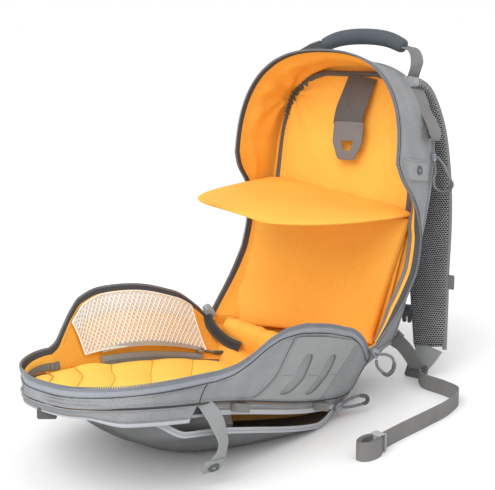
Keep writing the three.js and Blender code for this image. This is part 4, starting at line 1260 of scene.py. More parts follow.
def lathe(name, profile, foot, axis, finish, nodes=(), sides=28):
    """A closed profile of radius and height, turned about an axis that stands on a foot."""
    axis = unit(np.array(axis, float))
    helper = np.array([0.0, 0.0, 1.0]) if abs(axis[2]) < 0.9 else np.array([1.0, 0.0, 0.0])
    across = unit(np.cross(axis, helper))
    along = np.cross(axis, across)
    angle = np.linspace(0, 2 * math.pi, sides, endpoint=False)[:, None, None]
    radius, height = np.array(profile, float).T
    ring = np.cos(angle) * across + np.sin(angle) * along
    points = np.array(foot, float) + ring * radius[None, :, None] + axis * height[None, :, None]
    count = len(profile)
    faces = []
    for i in range(sides):
        for k in range(count):
            after = (i + 1) % sides
            up = (k + 1) % count
            faces.append((i * count + k, after * count + k, after * count + up, i * count + up))
    flat = points.reshape(-1, 3)
    return weld(piece(name, flat, faces, finish, nodes, flat[:, :2], 35))


def snap(name, foot, axis):
    """A press snap: a rolled ring round a small post."""
    ring = [(2.6, 0.0), (6.4, 0.0), (6.6, 0.8), (6.0, 2.0), (4.9, 2.4), (3.9, 1.9), (3.2, 0.9), (2.6, 0.7)]
    lathe(name + "_ring", ring, foot, axis, "plastic", [name])
    post = [(0.0, 0.1), (2.5, 0.1), (2.3, 1.2), (1.6, 1.9), (0.0, 2.1)]
    lathe(name + "_post", post, foot, axis, "metal")


def slider(name, origin, along, across, size):
    """A zip slider: a shield-shaped plate, a raised bridge over it and a lower plate."""
    long, wide, thick = size["long"], size["wide"], size["thick"]
    sides = both_sides(0, [(wide * 0.34, -long / 2), (wide / 2, 0), (wide / 2, long / 2)])
    shield = rounded([(x, y) for y, x in sides], wide * 0.25)
    place = placed_on(origin, along, across)
    lift = np.array([0, 0, thick * 0.26])
    plate(name + "_top", shield, [], thick * 0.42, 0.5, lambda flat: place(flat + lift), "metal", [name])
    plate(name + "_foot", shield, [], thick * 0.3, 0.4, lambda flat: place(flat - 1.3 * lift), "metal")
    arc = np.linspace(0, math.pi, 12)
    hoop = np.stack([-long * 0.36 * np.cos(arc), 0 * arc, thick * 0.45 + 1.9 * np.sin(arc)], axis=-1)
    side = place(np.array([[0, 1.0, 0]]))[0] - np.array(origin, float)
    sweep(name + "_bridge", place(hoop), side, oval(10, 3), 2.6, 1.3, "metal")


def pull(node_name, rows, low, high):
    """A zip's pull cord, with a thicker moulded grip between two shares of its length."""
    name = node_name + "_cord"
    line = line_of(rows, 1.2)
    corners = to_part(line)
    radius = millimetres("pull_cord") / 2
    shape = bpy.data.curves.new(name, "CURVE")
    shape.dimensions = "3D"
    spline = shape.splines.new("POLY")
    spline.points.add(len(line) - 1)
    for point, corner in zip(spline.points, corners):
        point.co = (*corner, 1)
    shape.bevel_depth = radius / 1000
    shape.bevel_resolution = 3
    shape.use_fill_caps = True
    shape.materials.append(material("cord"))
    made = show(name, shape)
    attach(made, "root")
    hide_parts(node_name)
    last = len(line) - 1
    held = line[int(low * last) : int(high * last) + 1]
    swell = radius + 0.9 * np.sin(np.linspace(0, math.pi, len(held))) ** 0.4
    grip = tube(name + "_grip", held, swell, "plastic", sides=12)


def zip_side(name, surface, share, wide, finish, nodes):
    """One side of the main zip: its tape along a rim, its teeth, its seams and the tape inside. The
    near-black seam line below the tape and the darker tape inside are painted shade.
    """
    a, b = grid(260, 3)
    inside = INNER_TAPE * millimetres("tape_width")
    cloth(name + "_tape", surface, a, 1 - share(a, wide * (1 - b)), -0.4, -1.6, finish, nodes)
    # The tape inside is darker than the tape outside: painted shade.
    cloth(name + "_inner", surface, a, 1 - share(a, 1.0 + inside * (1 - b)), -1.9, -2.5, "inner_tape")
    s = np.linspace(0.0, 1.0, 900)
    rim = np.ones_like(s)
    line = offset(surface, s, rim + share(s, 0.3), -1.1)
    out = normals(surface, s, rim)
    teeth(name + "_teeth", line, out, millimetres("tooth_pitch"), 1.3, 3.2, 2.4)
    # The near-black line just below the tape is painted shade in the sunken seam there.
    for label, below, finish in (("cord", 2.4, "teeth"), ("seam", wide + 0.2, "seam")):
        run = offset(surface, s, rim - share(s, below), -0.45)
        tube(name + "_" + label, run[::3], 0.75, finish, sides=6)
    seam_on("grey_thread", surface, s, 1 - share(s, wide - 1.2), -0.35)


# Operators, one for each group of pieces.


class PACK_OT_stage(bpy.types.Operator):
    """Camera, soft studio light and a pale floor"""

    bl_idname = "pack.stage"
    bl_label = "Stage"

    def execute(self, context):
        scene = context.scene
        turn, rise = math.radians(CAMERA["turn"]), math.radians(CAMERA["rise"])
        look = np.array([math.sin(turn) * math.cos(rise), -math.cos(turn) * math.cos(rise), math.sin(rise)])
        eye = bpy.data.cameras.new("camera")
        eye.sensor_width = CAMERA["sensor"]
        eye.lens = CAMERA["lens"]
        camera = show("camera", eye)
        camera.location = Vector(to_part(np.array(CAMERA["target"])) + look * CAMERA["far"] / 1000)
        camera.rotation_euler = Vector(-look).to_track_quat("-Z", "Y").to_euler()
        scene.camera = camera

        world = bpy.data.worlds.new("studio")
        world.use_nodes = True
        tree = world.node_tree
        sky = tree.nodes["Background"].inputs
        seen = node(tree, "ShaderNodeLightPath").outputs["Is Camera Ray"]
        strength = node(tree, "ShaderNodeMix", {0: seen, 2: SKY["light"], 3: SKY["seen"]})
        sky["Color"].default_value = (1, 1, 1, 1)
        tree.links.new(strength.outputs[0], sky["Strength"])
        scene.world = world
        scene.view_settings.view_transform = "Standard"

        light = bpy.data.lights.new("window", "SUN")
        light.energy = SUN["energy"]
        light.angle = math.radians(SUN["angle"])
        lamp = show("window", light)
        lamp.rotation_euler = Vector(SUN["toward"]).to_track_quat("-Z", "Y").to_euler()

        ground = bpy.data.meshes.new("floor")
        half = GROUND["half"]
        ground.from_pydata(
            [(-half, -half, 0), (half, -half, 0), (half, half, 0), (-half, half, 0)], [], [(0, 1, 2, 3)]
        )
        paint, tree, shader = start_material("floor", {"Roughness": GROUND["rough"]})
        shades(tree, shader, [GROUND["white"]] * 3, GROUND["spread"], mottle(tree, 1, 60))
        ground.materials.append(paint)
        floor = show("floor", ground)
        return {"FINISHED"}


class PACK_OT_cords(bpy.types.Operator):
    """Pull cords of the zips"""

    bl_idname = "pack.cords"
    bl_label = "Pull cords"

    def execute(self, context):
        for name, rows, low, high, far_end, slot in (
            ("main_pull", MAIN_PULL, 0.36, 0.74, "object", "pull_cord"),
            ("front_pull", FRONT_PULL, 0.3, 0.66, "object", "pull_cord"),
            ("rear_pull", REAR_PULL, 0.32, 0.66, "object", "pull_cord"),
            ("mesh_pull", MESH_PULL, 0.45, 1.0, "fitting", "webbing"),
        ):
            pull(name, rows, low, high)
        return {"FINISHED"}


def body_relief(s, h):
    """Soft waves of the body wall, still at its seams."""
    place = body_wall(s, h)
    free = ease(h, 0.0, 0.2) * (1 - ease(h, 0.72, 1.0))
    return free * (2.2 * ripple(place, 64, 3) + 1.0 * ripple(place * [1, 1, 0.5], 22, 5))


SNAP_TAB = {"first": 0.677, "last": 0.708, "low": 0.1, "high": 0.86, "snap": (0.689, 0.45)}
GATHER = {"u": -96, "v": 398, "reach": 60, "folds": 11}


def gather_folds(place):
    """Folds of the lining that run out from the sleeve's gather."""
    far = place - from_body(GATHER["u"], GATHER["v"], 24)
    reach = np.linalg.norm(far, axis=-1)
    angle = np.arctan2(far[..., 2], far[..., 1])
    return 3.2 * (1 + np.sin(9 * angle + 0.6)) * np.exp(-reach / 55) * ease(reach, 4, 26)


def rim_band(name, first, last, back, finish):
    """A band that stands inward from the near rim, wide in its middle and narrow at both ends."""
    a, b = grid(90, 4)
    s = lerp(0.735, 0.985, a)
    taper = (0.25 + 0.75 * ease(a, 0.0, 0.25)) * (1 - 0.6 * ease(a, 0.75, 1.0))
    inward = lerp(first, last, b) * taper
    swell = 1.2 * np.sin(math.pi * b) + 0.4 * ripple(body_wall(s, 1), 16, 18)
    front = body_wall(s, 1) + points_of(-inward, 0.15 * inward + back * taper - swell, 0 * a)
    return shell(name, front, front + np.array([0, 1.2, 0]), finish)


class PACK_OT_body_shell(bpy.types.Operator):
    """Wall of the body with its zip, its lining and the snap tab"""

    bl_idname = "pack.body_shell"
    bl_label = "Body shell"

    def execute(self, context):
        wide = millimetres("rim_width")
        wall = millimetres("cloth")
        a, b = grid(260, 24)
        h = b * (1 - body_share(a, wide + 0.4))
        waves = body_relief(a, h)
        cloth("body_gusset_cloth", body_wall, a, h, waves, waves - wall, "nylon", ["body_gusset"])
        # The body's side of the zip tape takes the darker colour: painted shade along the rim.
        zip_side("body_zip", body_wall, body_share, wide, "rim_tape", ["body_zip_tape"])

        inside = INNER_TAPE * millimetres("tape_width") + 0.6
        h = lerp(body_share(a, 5), 1 - body_share(a, inside), b)
        place = body_wall(a, h)
        still = ease(b, 0.0, 0.1) * (1 - ease(b, 0.7, 0.98))
        creases = (1 - np.abs(ripple(place * [0.7, 0.7, 1], 34, 8))) ** 4
        folds = still * (2.0 + 2.6 * creases + 1.6 * ripple(place, 48, 2) + gather_folds(place))
        base = np.minimum(body_relief(a, h), 0) - wall - 0.8
        inner = base - folds
        cloth("body_lining_cloth", body_wall, a, h, inner, inner - 1, "lining", ["body_lining"])

        s = np.linspace(0.004, 0.996, 900)
        seam_on("orange_thread", body_wall, s, 1 - body_share(s, inside + 3), -wall - 2.1)
        seam_on("grey_thread", body_wall, s, 1 - body_share(s, wide + 3), 0.25)
        seam_on("grey_thread", body_wall, s, body_share(s, 5), 0.5)
        tube("back_piping", offset(body_wall, s, body_share(s, 0.6), 0.4)[::3], 1.8, "nylon", sides=8)
        # The band next to the near rim takes the darker tape colour: painted shade.
        rim_band("rim_inner_band", 0.0, 12.0, 1.0, "inner_tape")
        rim_band("rim_lining_band", 11.0, 18.0, 3.0, "lining")
        rim_band("rim_side_tape", 20.5, 27.5, 8.0, "webbing")

        a, b = grid(26, 26)
        s, h = lerp(SNAP_TAB["first"], SNAP_TAB["last"], a), lerp(SNAP_TAB["low"], SNAP_TAB["high"], b)
        edge = (1 - np.abs(2 * a - 1) ** 8) * (1 - np.abs(2 * b - 1) ** 8)
        outer = 1.0 + 1.4 * edge + body_relief(s, h)
        cloth("snap_tab_cloth", body_wall, s, h, outer, outer - 1.4, "laminate", ["snap_tab"])
        a, b = square_run(0.04, 0.96, 120)
        s, h = lerp(SNAP_TAB["first"], SNAP_TAB["last"], a), lerp(SNAP_TAB["low"], SNAP_TAB["high"], b)
        seam_on("grey_thread", body_wall, s, h, body_relief(s, h) + 2.2)
        seat = SNAP_TAB["snap"]
        axis = normals(body_wall, *seat)
        foot = body_wall(*seat) + axis * (2.3 + body_relief(*seat))
        snap("tab_snap", foot, axis)
        return {"FINISHED"}


def back_sheet(columns, rows, low, depth_at):
    """A sheet across the back: columns run across, rows from the bottom to the top."""
    a, b = grid(columns, rows)
    q = 2 * a - 1
    v = lerp(low, BODY_ARCH["back_top"] - 5, np.sin(b * math.pi / 2))
    u = q * (body_half(v, 6) - 4) * (1 - 0.3 * ease(60 - v, 0, 18))
    return from_body(u, v, depth_at(q, v, u))


class PACK_OT_back(bpy.types.Operator):
    """Padded back panel and its lining"""

    bl_idname = "pack.back"
    bl_label = "Back"

    def execute(self, context):
        def puff(q, v, u):
            grooves = ((u, 14), (v - 190, 9), (v - 320, 9))
            channel = sum(np.exp(-((away / wide) ** 2)) for away, wide in grooves)
            edge = (1 - np.abs(q) ** 6) * ease(v, 60, 90) * (1 - ease(v, 425, 450))
            return 2.5 - edge * 8 * (1 - np.minimum(channel, 1))

        outer, inner = back_sheet(72, 110, 50, puff), back_sheet(72, 110, 50, level(12.5))
        made = shell("back_panel_pad", outer, inner, "spacer", ["back_panel"])

        def lining(q, v, u):
            place = points_of(u, v, 0)
            return 13.6 + 0.7 + 0.7 * ripple(place, 34, 4) * (1 - np.abs(q) ** 4)

        face = back_sheet(60, 80, 54, lambda q, v, u: lining(q, v, u) + 1.0)
        shell("back_lining_cloth", face, back_sheet(60, 80, 54, lining), "lining", ["back_lining"])
        return {"FINISHED"}


sleeve_half = smooth(SLEEVE_SECTIONS, "v", "half")
sleeve_depth = smooth(SLEEVE_SECTIONS, "v", "depth")
SLEEVE_TOP = SLEEVE_SECTIONS["v"][-1]


def sleeve_front(u, v):
    """Depth of the sleeve's front: a slight billow, with folds that run to the gather."""
    q = u / sleeve_half(v)
    far = np.hypot(u - GATHER["u"], v - GATHER["v"])
    angle = np.arctan2(v - GATHER["v"], u - GATHER["u"])
    folds = 2.2 * np.sin(angle * GATHER["folds"]) * np.exp(-far / GATHER["reach"]) * ease(far, 2, 14)
    billow = 3.0 * (1 - q * q) * np.sin(math.pi * np.clip((v - 62) / 380, 0, 1))
    return sleeve_depth(v) + billow + folds + 0.7 * ripple(points_of(u, v, 0), 40, 6)


class PACK_OT_sleeve(bpy.types.Operator):
    """Sleeve on the back, its elastic binding, the hanging strap and its tab"""

    bl_idname = "pack.sleeve"
    bl_label = "Sleeve"

    def execute(self, context):
        a, b = grid(90, 130)
        v = lerp(SLEEVE_SECTIONS["v"][0], SLEEVE_TOP, b)
        u = (2 * a - 1) * sleeve_half(v)
        w = sleeve_front(u, v)
        shell("rear_sleeve_cloth", from_body(u, v, w), from_body(u, v, w - 1), "lining", ["rear_sleeve"])

        a, b = grid(360, 6)
        side = 0.42
        up = np.minimum(a, 1 - a) / side
        v = lerp(236, SLEEVE_TOP, np.minimum(up, 1))
        along = np.where(up < 1, np.sign(a - 0.5), lerp(-1, 1, (a - side) / (1 - 2 * side)))
        u = along * sleeve_half(v)
        inward = unit(np.stack([-u, 250 - v], axis=-1))
        near = np.exp(-(np.hypot(u - GATHER["u"], v - GATHER["v"]) / 38) ** 2)
        wave = near * np.sin(a * 520)
        wide = 7.5 + 2.0 * near * np.sin(a * 390)
        u = u + inward[..., 0] * (wide * b + 2.2 * wave)
        v = v + inward[..., 1] * (wide * b + 2.2 * wave)
        lift = 0.5 + 1.3 * (1 - (2 * b - 1) ** 4) + 2.4 * near * (1 + np.sin(a * 640))
        w = sleeve_front(u, v)
        outer, inner = from_body(u, v, w + lift), from_body(u, v, w + lift - 1.2)
        shell("sleeve_binding_elastic", outer, inner, "elastic", ["sleeve_binding"])

        line = body_line(HANGER_LINE, 3)
        strap("hanger_strap_web", line, (1, 0, 0), HANGER_WIDTH, 1.8, "hanger", ["hanger_strap"])
        half, foot, hole = TAB["half"], TAB["foot"], TAB_HOLE
        sides = [(half, TAB["top"]), (half, TAB["shoulder"]), (foot, TAB["bottom"])]
        outline = rounded(both_sides(TAB["u"], sides), 4)
        sides = [(hole["half"] + 2, hole["top"] + 2), (hole["foot"], hole["bottom"])]
        holes = [rounded(both_sides(TAB["u"], sides), 3)]

        def place(flat):
            return from_body(flat[:, 0], flat[:, 1], TAB["front"] + flat[:, 2])

        plate("hanger_tab_plate", outline, holes, 2.0, 0.5, place, "tab", ["hanger_tab"])
        forward = from_body(0, 0, 1) - from_body(0, 0, 0)
        for height in (TAB["top"] - 3, TAB["top"] - 6):
            u = np.linspace(TAB["u"] - half + 3, TAB["u"] + half - 3, 30)
            seam("grey_thread", from_body(u, height, TAB["front"] + 1.1), forward)
        return {"FINISHED"}


divider_half = smooth(DIVIDER_SECTIONS, "v", "half")
divider_depth = smooth(DIVIDER_SECTIONS, "v", "depth")
divider_far = {name: smooth(DIVIDER_FAR, "v", name) for name in ("u", "w")}


class PACK_OT_divider(bpy.types.Operator):
    """Padded divider and its shelf"""

    bl_idname = "pack.divider"
    bl_label = "Divider"

    def execute(self, context):
        a, b = grid(56, 60)
        q = 2 * a - 1
        v = lerp(52, 246, b)
        u = q * divider_half(v)
        turned = np.clip(-2 * q - 1, 0, 1) ** 1.3
        u = lerp(u, divider_far["u"](v), turned)
        depth = lerp(divider_depth(v), divider_far["w"](v), turned)
        v = v - DIVIDER_SLANT * q * b
        edge = crown(q, 8) * crown(2 * b - 1, 10)
        place = points_of(u, v, 0)
        puff = edge * (5 + 1.1 * ripple(place, 55, 9) + 0.5 * ripple(place, 22, 12)) - 2
        outer = from_body(u, v, depth + puff)
        inner = from_body(u, v, np.maximum(depth - 9, 24.6))
        made = shell("divider_panel_pad", outer, inner, "lining", ["divider_panel"], sharp=70)
        hold_inside(made, body_wall, *grid(200, 40), PAD_CLEARANCE)

        a, b = grid(64, 48)
        q = 2 * a - 1
        reach = SHELF["end"] * np.sin(b * math.pi / 2)
        u = q * SHELF["half"] * (1 - reach ** SHELF["power"]) ** (1 / SHELF["power"]) - SHELF["skew"] * reach
        v = SHELF["top"] - SHELF["pad"] / 2 - SHELF["drop"] * reach
        v = v - (SHELF["slant"] + SHELF["twist"] * reach) * q
        w = lerp(SHELF["back"], SHELF["front"], reach)
        thin = crown(q, 6) * crown(reach / SHELF["end"], 8)
        place = points_of(u, v, w)
        swell = 0.5 + thin * (SHELF["pad"] / 2 + 1.5 + 1.0 * ripple(place, 60, 15))
        top = from_body(u, v + swell, w)
        foot = from_body(u, v - swell * 0.9, w)
        made = shell("divider_shelf_pad", top, foot, "lining", ["divider_shelf"], sharp=80)
        subdivide(made)
        return {"FINISHED"}


def mirror_rows(rows):
    """A table of the right side, turned over to the left."""
    return {name: -column if name == "x" else column for name, column in rows.items()}


class PACK_OT_handle(bpy.types.Operator):
    """Carrying grip and its webbing"""

    bl_idname = "pack.handle"
    bl_label = "Handle"

    def execute(self, context):
        line = body_line(GRIP_LINE, 2)
        share = np.linspace(-1, 1, len(line))
        ends = np.sqrt(np.clip(1.02 - np.abs(share) ** 40, 0, 1))
        girth = 2 * GRIP_RADIUS * (1 - 0.18 * np.abs(share) ** 3) * ends
        made = sweep(
            "handle_grip_pad", line, (0, 1, 0), oval(30, 2.3), girth * 1.02, girth * 0.98, "grip",
            ["handle_grip"],
        )
        seam("grey_thread", line + np.array([0, -0.5, -1.0]) * (girth * 0.49)[:, None] * 0.9, (0, 0, -1))
        s, h, lift = [np.append(HANDLE_SEWN[name], HANDLE_LOOP[name]) for name in ("s", "h", "lift")]
        sewn = offset(body_wall, s, h, lift + np.maximum(body_relief(s, h), 0))
        for name, table_of, sign in (("right", HANDLE_LINE, 1), ("left", HANDLE_FAR, -1)):
            free = from_body(table_of["u"], table_of["v"], table_of["w"])
            line = curve_through(np.concatenate([free, sewn * [sign, 1, 1]]), 2.5)
            twist = np.clip(1 - np.linspace(0, 3, len(line)), 0, 1)
            side = points_of(-0.3 * sign, -1, 0.4 * (1 - sign) * twist)
            node_name = "handle_webbing_" + name
            wide = millimetres("webbing_width")
            strap(node_name + "_strap", line, side, wide, 1.8, "webbing", [node_name])
        return {"FINISHED"}


class PACK_OT_straps(bpy.types.Operator):
    """Shoulder straps with their ends, anchor tabs, webbing, locks and small fittings"""

    bl_idname = "pack.straps"
    bl_label = "Shoulder straps"

    def execute(self, context):
        for name, turn, sign in (("right", lambda rows: rows, 1), ("left", mirror_rows, -1)):
            self.strap_side(name, turn, sign)
        prongs = [(2.6, 12), (2.6, 3), (-2.6, 3), (-2.6, 12)]
        fork = rounded([(-7, -12), (7, -12), (7, 2), (5, 12), *prongs, (-5, 12), (-7, 2)], 1.6)
        slot = rounded_box(4.6, -9.5, -6.5, 1)
        place = placed_on((87.2, 202, 64), (1, 0.1, 0), (0, 0, -1))
        plate("sternum_buckle_fork", fork, [slot], 6, 1.4, place, "plastic", ["sternum_buckle"])
        tag = rounded_box(4.5, -10, 10, 1.2)
        place = placed_on((148, 217, 116), (1, 0, 0), (0, 0, 1))
        plate("strap_tag_web", tag, [], 1.6, 0.5, place, "webbing", ["strap_tag"])
        return {"FINISHED"}

    def strap_side(self, name, turn, sign):
        """All pieces of one strap."""
        rows = turn(STRAP)
        line = line_of(rows, 4)
        widths = along_table(rows, "width", len(line))
        share = np.linspace(0, 1, len(line))
        thick = 13.5 * crown(2 * share - 1, 30) + 1
        node_name = "shoulder_strap_" + name
        section = oval(36, 4.0)
        made = sweep(node_name + "_pad", line, (1, 0, 0), section, widths, thick, "spacer", [node_name])
        yoke = line[: len(line) // 16]
        sweep("strap_yoke_" + name, yoke, (1, 0, 0), section, widths[: len(yoke)] + 3, 15.6, "nylon")
        for side, label in ((-1, "inner"), (1, "outer")):
            edge = line + np.array([side, 0, 0]) * (widths[:, None] / 2 - 1.2)
            sweep(
                "strap_binding_" + name + "_" + label, edge, (1, 0, 0), oval(12, 2.5), 5.5, 8.5, "binding"
            )
        lean = unit(np.array([sign * 0.6, 0.114, 0.8]))
        ends = (("strap_end_", STRAP_END, (1, 0, 0), 4.2), ("anchor_tab_", ANCHOR, lean, 2.6))
        for part, rows, side, thick in ends:
            line = line_of(turn(rows), 2)
            widths = along_table(rows, "width", len(line))
            strap(part + name + "_cloth", line, side, widths, thick, "nylon", [part + name])
        line = line_of(turn(LOWER_WEBBING), 2)
        across = np.linspace(0, 1, len(line))[:, None]
        side = lerp(np.array([sign * 0.6, 0.1, 0.8]), np.array([sign * 0.95, 0.1, 0.3]), across)
        node_name = "lower_webbing_" + name
        wide, thick = millimetres("webbing_width"), millimetres("webbing")
        strap(node_name + "_strap", line, side, wide, thick, "webbing", [node_name])
        half, tall, bar = LOCK["width"] / 2, LOCK["height"] / 2, LOCK["bar"]
        outline = rounded([(-half, -tall), (half, -tall), (half * 0.94, tall), (-half * 0.94, tall)], 3)
        gap = (LOCK["height"] - 3 * bar) / 2
        holes = []
        for middle in (-(bar + gap) / 2, (bar + gap) / 2):
            holes.append(rounded_box(half - bar, middle - gap / 2, middle + gap / 2, 1))
        lean = math.radians(LOCK["lean"])
        origin = (sign * LOCK["x"], LOCK["y"], LOCK["z"])
        place = placed_on(origin, (1, 0, 0), (0, math.cos(lean), math.sin(lean)))
        node_name = "ladder_lock_" + name
        plate(node_name + "_frame", outline, holes, LOCK["depth"], 1.2, place, "plastic", [node_name])


class PACK_OT_tails(bpy.types.Operator):
    """Loose webbing ends on the floor and the roll of the right one"""

    bl_idname = "pack.tails"
    bl_label = "Webbing tails"

    def execute(self, context):
        wide, thick = millimetres("webbing_width"), millimetres("webbing")
        for name, rows in (("webbing_tail_right", TAIL), ("webbing_tail_left", HIDDEN_TAIL)):
            line = line_of(rows, 3)
            made = strap(name + "_strap", line, (0, 0, 1), wide, thick, "webbing", [name])
        turns = 3
        angle = np.linspace(math.pi / 2, math.pi / 2 - 2 * math.pi * turns, 160)
        drawn = np.linspace(0.8, 2.05 * turns + 0.8, 160)
        x = ROLL["x"] + (ROLL["across"] - drawn) * np.cos(angle)
        y = ROLL["y"] + (ROLL["along"] - drawn) * np.sin(angle)
        line = points_of(x, y, ROLL["z"])
        strap("tail_roll_strap", line, (0, 0, 1), wide, thick, "webbing", ["tail_roll"])
        out = unit(np.array([0.25, 1.0, 0]))
        middle = np.array([ROLL["x"] + 2, ROLL["y"] + ROLL["along"] - 3.6, ROLL["z"]])
        ring = np.array([(-5.4, -10.3), (5.2, -10.3), (5.2, 12.2), (-5.4, 12.2)])
        corners = rounded(ring, 2)
        line = np.array([middle + out * x + np.array([0, 0, 1]) * y for x, y in corners])
        sweep("roll_keeper", line, np.cross(out, [0, 0, 1]), flat_section(), 15, 1.2, "piping", closed=True)
        return {"FINISHED"}


def bottom_relief(p, q):
    """Soft waves of the bottom, none where it stands on the floor."""
    place = bottom_wall(p, q)
    return 0.9 * ripple(place, 60, 21) * ease(place[..., 2], FLOOR + 1, FLOOR + 12)


def bottom_inside(p, q):
    """Offset of the inner face of the bottom's lining, in soft folds."""
    rest = np.sin(math.pi * np.clip(q, 0, 1)) ** 0.6
    folds = 2.5 + 3.5 * np.abs(np.sin(8 * p)) + 1.8 * ripple(bottom_wall(p, q), 36, 22)
    return -4.2 - rest * folds


class PACK_OT_bottom(bpy.types.Operator):
    """Rounded bottom, its lining and the closed end of the far zip"""

    bl_idname = "pack.bottom"
    bl_label = "Bottom"

    def execute(self, context):
        wall = millimetres("cloth")
        a, b = grid(84, 72)
        q = lerp(0.005, 0.995, b)
        waves = bottom_relief(a, q)
        cloth("bottom_panel_cloth", bottom_wall, a, q, waves, waves - wall, "nylon", ["bottom_panel"])
        p, q = lerp(0.0, 0.88, a), lerp(0.06, 0.94, b)
        inner = bottom_inside(p, q)
        made = cloth(
            "bottom_lining_pad", bottom_wall, p, q, -wall - 1.2, inner, "lining", ["bottom_lining"]
        )
        line = line_of(BOTTOM_ROLL, 4)
        folds = 1 + 0.08 * ripple(line, 22, 23) + 0.06 * ripple(line, 9, 24)
        wide = folds * along_table(BOTTOM_ROLL, "wide", len(line))
        tall = folds * along_table(BOTTOM_ROLL, "tall", len(line))
        made = sweep("bottom_lining_roll", line, (0, 1, 0.2), oval(28, 2.3), wide, tall, "lining")
        hold_inside(made, bottom_wall, *grid(90, 90), PAD_CLEARANCE)
        hold_inside(made, body_wall, *grid(200, 40), PAD_CLEARANCE)
        for label, sign in (("left", 1), ("right", -1)):
            mirror = np.array([sign, 1, 1])
            edge = bottom_wall(np.linspace(0, 0.6, 50), np.zeros(50)) * mirror
            for part, finish, inset in (("hem", "nylon", 1.8), ("lining", "lining", 4.4)):
                run = edge + np.array([sign * inset, 0, 0])
                sweep("bottom_%s_%s" % (part, label), run, (0, 0, 1), flat_section(8), 14.0, 1.6, finish)
            line = line_of(CLOSED_ZIP, 6) * mirror
            go = tangents(line)
            side = unit(np.cross(go, np.array([sign * 0.6, -0.78, 0.19])))
            face = np.cross(side, go)
            # The closed zip's tape is the zip tape darkened as painted shade; its teeth take the near-black
            # seam colour.
            strap("closed_zip_" + label, line, side, 15.0, 1.2, "inner_tape")
            for shift in (-2.2, 2.2):
                run = line + side * shift + face * 1.4
                teeth("closed_teeth_" + label, run, face, 2.4, 1.5, 3.0, 1.6, "seam")
        return {"FINISHED"}


def lid_relief(s, h):
    """Soft waves of the lid wall, still at its seams."""
    place = lid_wall(s, h)
    free = ease(h, 0.0, 0.15) * (1 - ease(h, 0.75, 1.0))
    return free * (1.8 * ripple(place, 58, 31) + 0.8 * ripple(place * [1, 1, 0.6], 20, 33))


def lid_sheet(inset, start, columns, rows, height_at):
    """A sheet inside the lid's outline: columns run across, rows from the hinge to the tip."""
    a, b = grid(columns, rows)
    t = lerp(start, LID_ARCH["tip"] - inset - 3, np.sin(b * math.pi / 2))
    q = 2 * a - 1
    lean = 1 - FAR_LEAN * np.where(q < 0, ease(t, 200, 330), 0)
    u = q * lid_half(t, inset) * lean
    return from_lid(u, t, height_at(q, t, u))


class PACK_OT_lid_shell(bpy.types.Operator):
    """Wall of the lid with its zip, its lining and its floor"""

    bl_idname = "pack.lid_shell"
    bl_label = "Lid shell"

    def execute(self, context):
        wide = millimetres("tape_width")
        wall = millimetres("cloth")
        a, b = grid(280, 22)
        h = b * (1 - lid_share(a, wide + 0.4))
        waves = lid_relief(a, h)
        cloth("lid_gusset_cloth", lid_wall, a, h, waves, waves - wall, "nylon", ["lid_gusset"])
        zip_side("lid_zip", lid_wall, lid_share, wide, "tape", ["lid_zip_tape"])
        h = lerp(lid_share(a, 3.5), 1 - lid_share(a, INNER_TAPE * wide + 0.6), b)
        place = lid_wall(a, h)
        still = ease(b, 0.0, 0.2) * (1 - ease(b, 0.75, 1.0))
        folds = still * (0.9 + 0.9 * ripple(place * [0.6, 1, 0.5], 26, 34))
        base = np.minimum(lid_relief(a, h), 0) - wall - 0.8
        inner = base - folds
        cloth("lid_lining_cloth", lid_wall, a, h, inner, inner - 1, "lining", ["lid_lining"])
        s = np.linspace(0.004, 0.996, 900)
        seam_on("grey_thread", lid_wall, s, 1 - lid_share(s, wide + 4.0), -wall - 2.0)
        seam_on("grey_thread", lid_wall, s, 1 - lid_share(s, wide + 3), 0.25)
        seam_on("grey_thread", lid_wall, s, lid_share(s, 4), 0.4)
        # A near-black line along the foot of the lid wall: the seam there, drawn as a painted shadow line
        # where the wall meets the front pocket.
        s = np.linspace(0.004, 0.445, 400)
        base = offset(lid_wall, s, lid_share(s, 0.4), 0.4 - 1.6 * ease(s, 0.395, 0.445))
        tube("lid_base_seam", base[::3], 0.9, "seam", sides=6)
        # A near-black line where the wing meets the tip's gusset: painted shade in the sunken seam.
        rise = np.linspace(0, 1, 40)
        s = lerp(0.35, 0.3465, rise**2)
        h = rise * (1 - lid_share(s, wide + 0.6))
        tube("wing_seam", offset(lid_wall, s, h, lid_relief(s, h) + 0.1), 0.7, "seam", sides=6)
        top = lid_sheet(2.5, 6, 40, 60, level(3.4))
        foot = lid_sheet(2.5, 6, 40, 60, level(0.8))
        shell("lid_panel_board", top, foot, "lining", ["lid_panel"])
        return {"FINISHED"}


QUILT = {"u": 827, "t": 1218, "turn": 43.0, "pitch": 2.13, "inset": 8, "start": 30}


def quilt_height(q, t, u):
    """Height of the quilted pocket: puffs between seams that fan out, drawn in at its edges."""
    turn = np.degrees(np.arctan2(QUILT["u"] - u, QUILT["t"] - t))
    place = (turn - QUILT["turn"]) / QUILT["pitch"]
    edge = crown(q, 2) * ease(t, 30, 70) * (1 - ease(t, 410, 446))
    puff = np.abs(np.sin(math.pi * place)) ** 0.5
    raised = 12 * np.exp(-(((u + 112) / 36) ** 2) - ((t - 268) / 46) ** 2)
    return 4.6 + edge * (8.5 + 4.2 * puff + raised + 0.9 * ripple(points_of(u, t, 0), 38, 41))


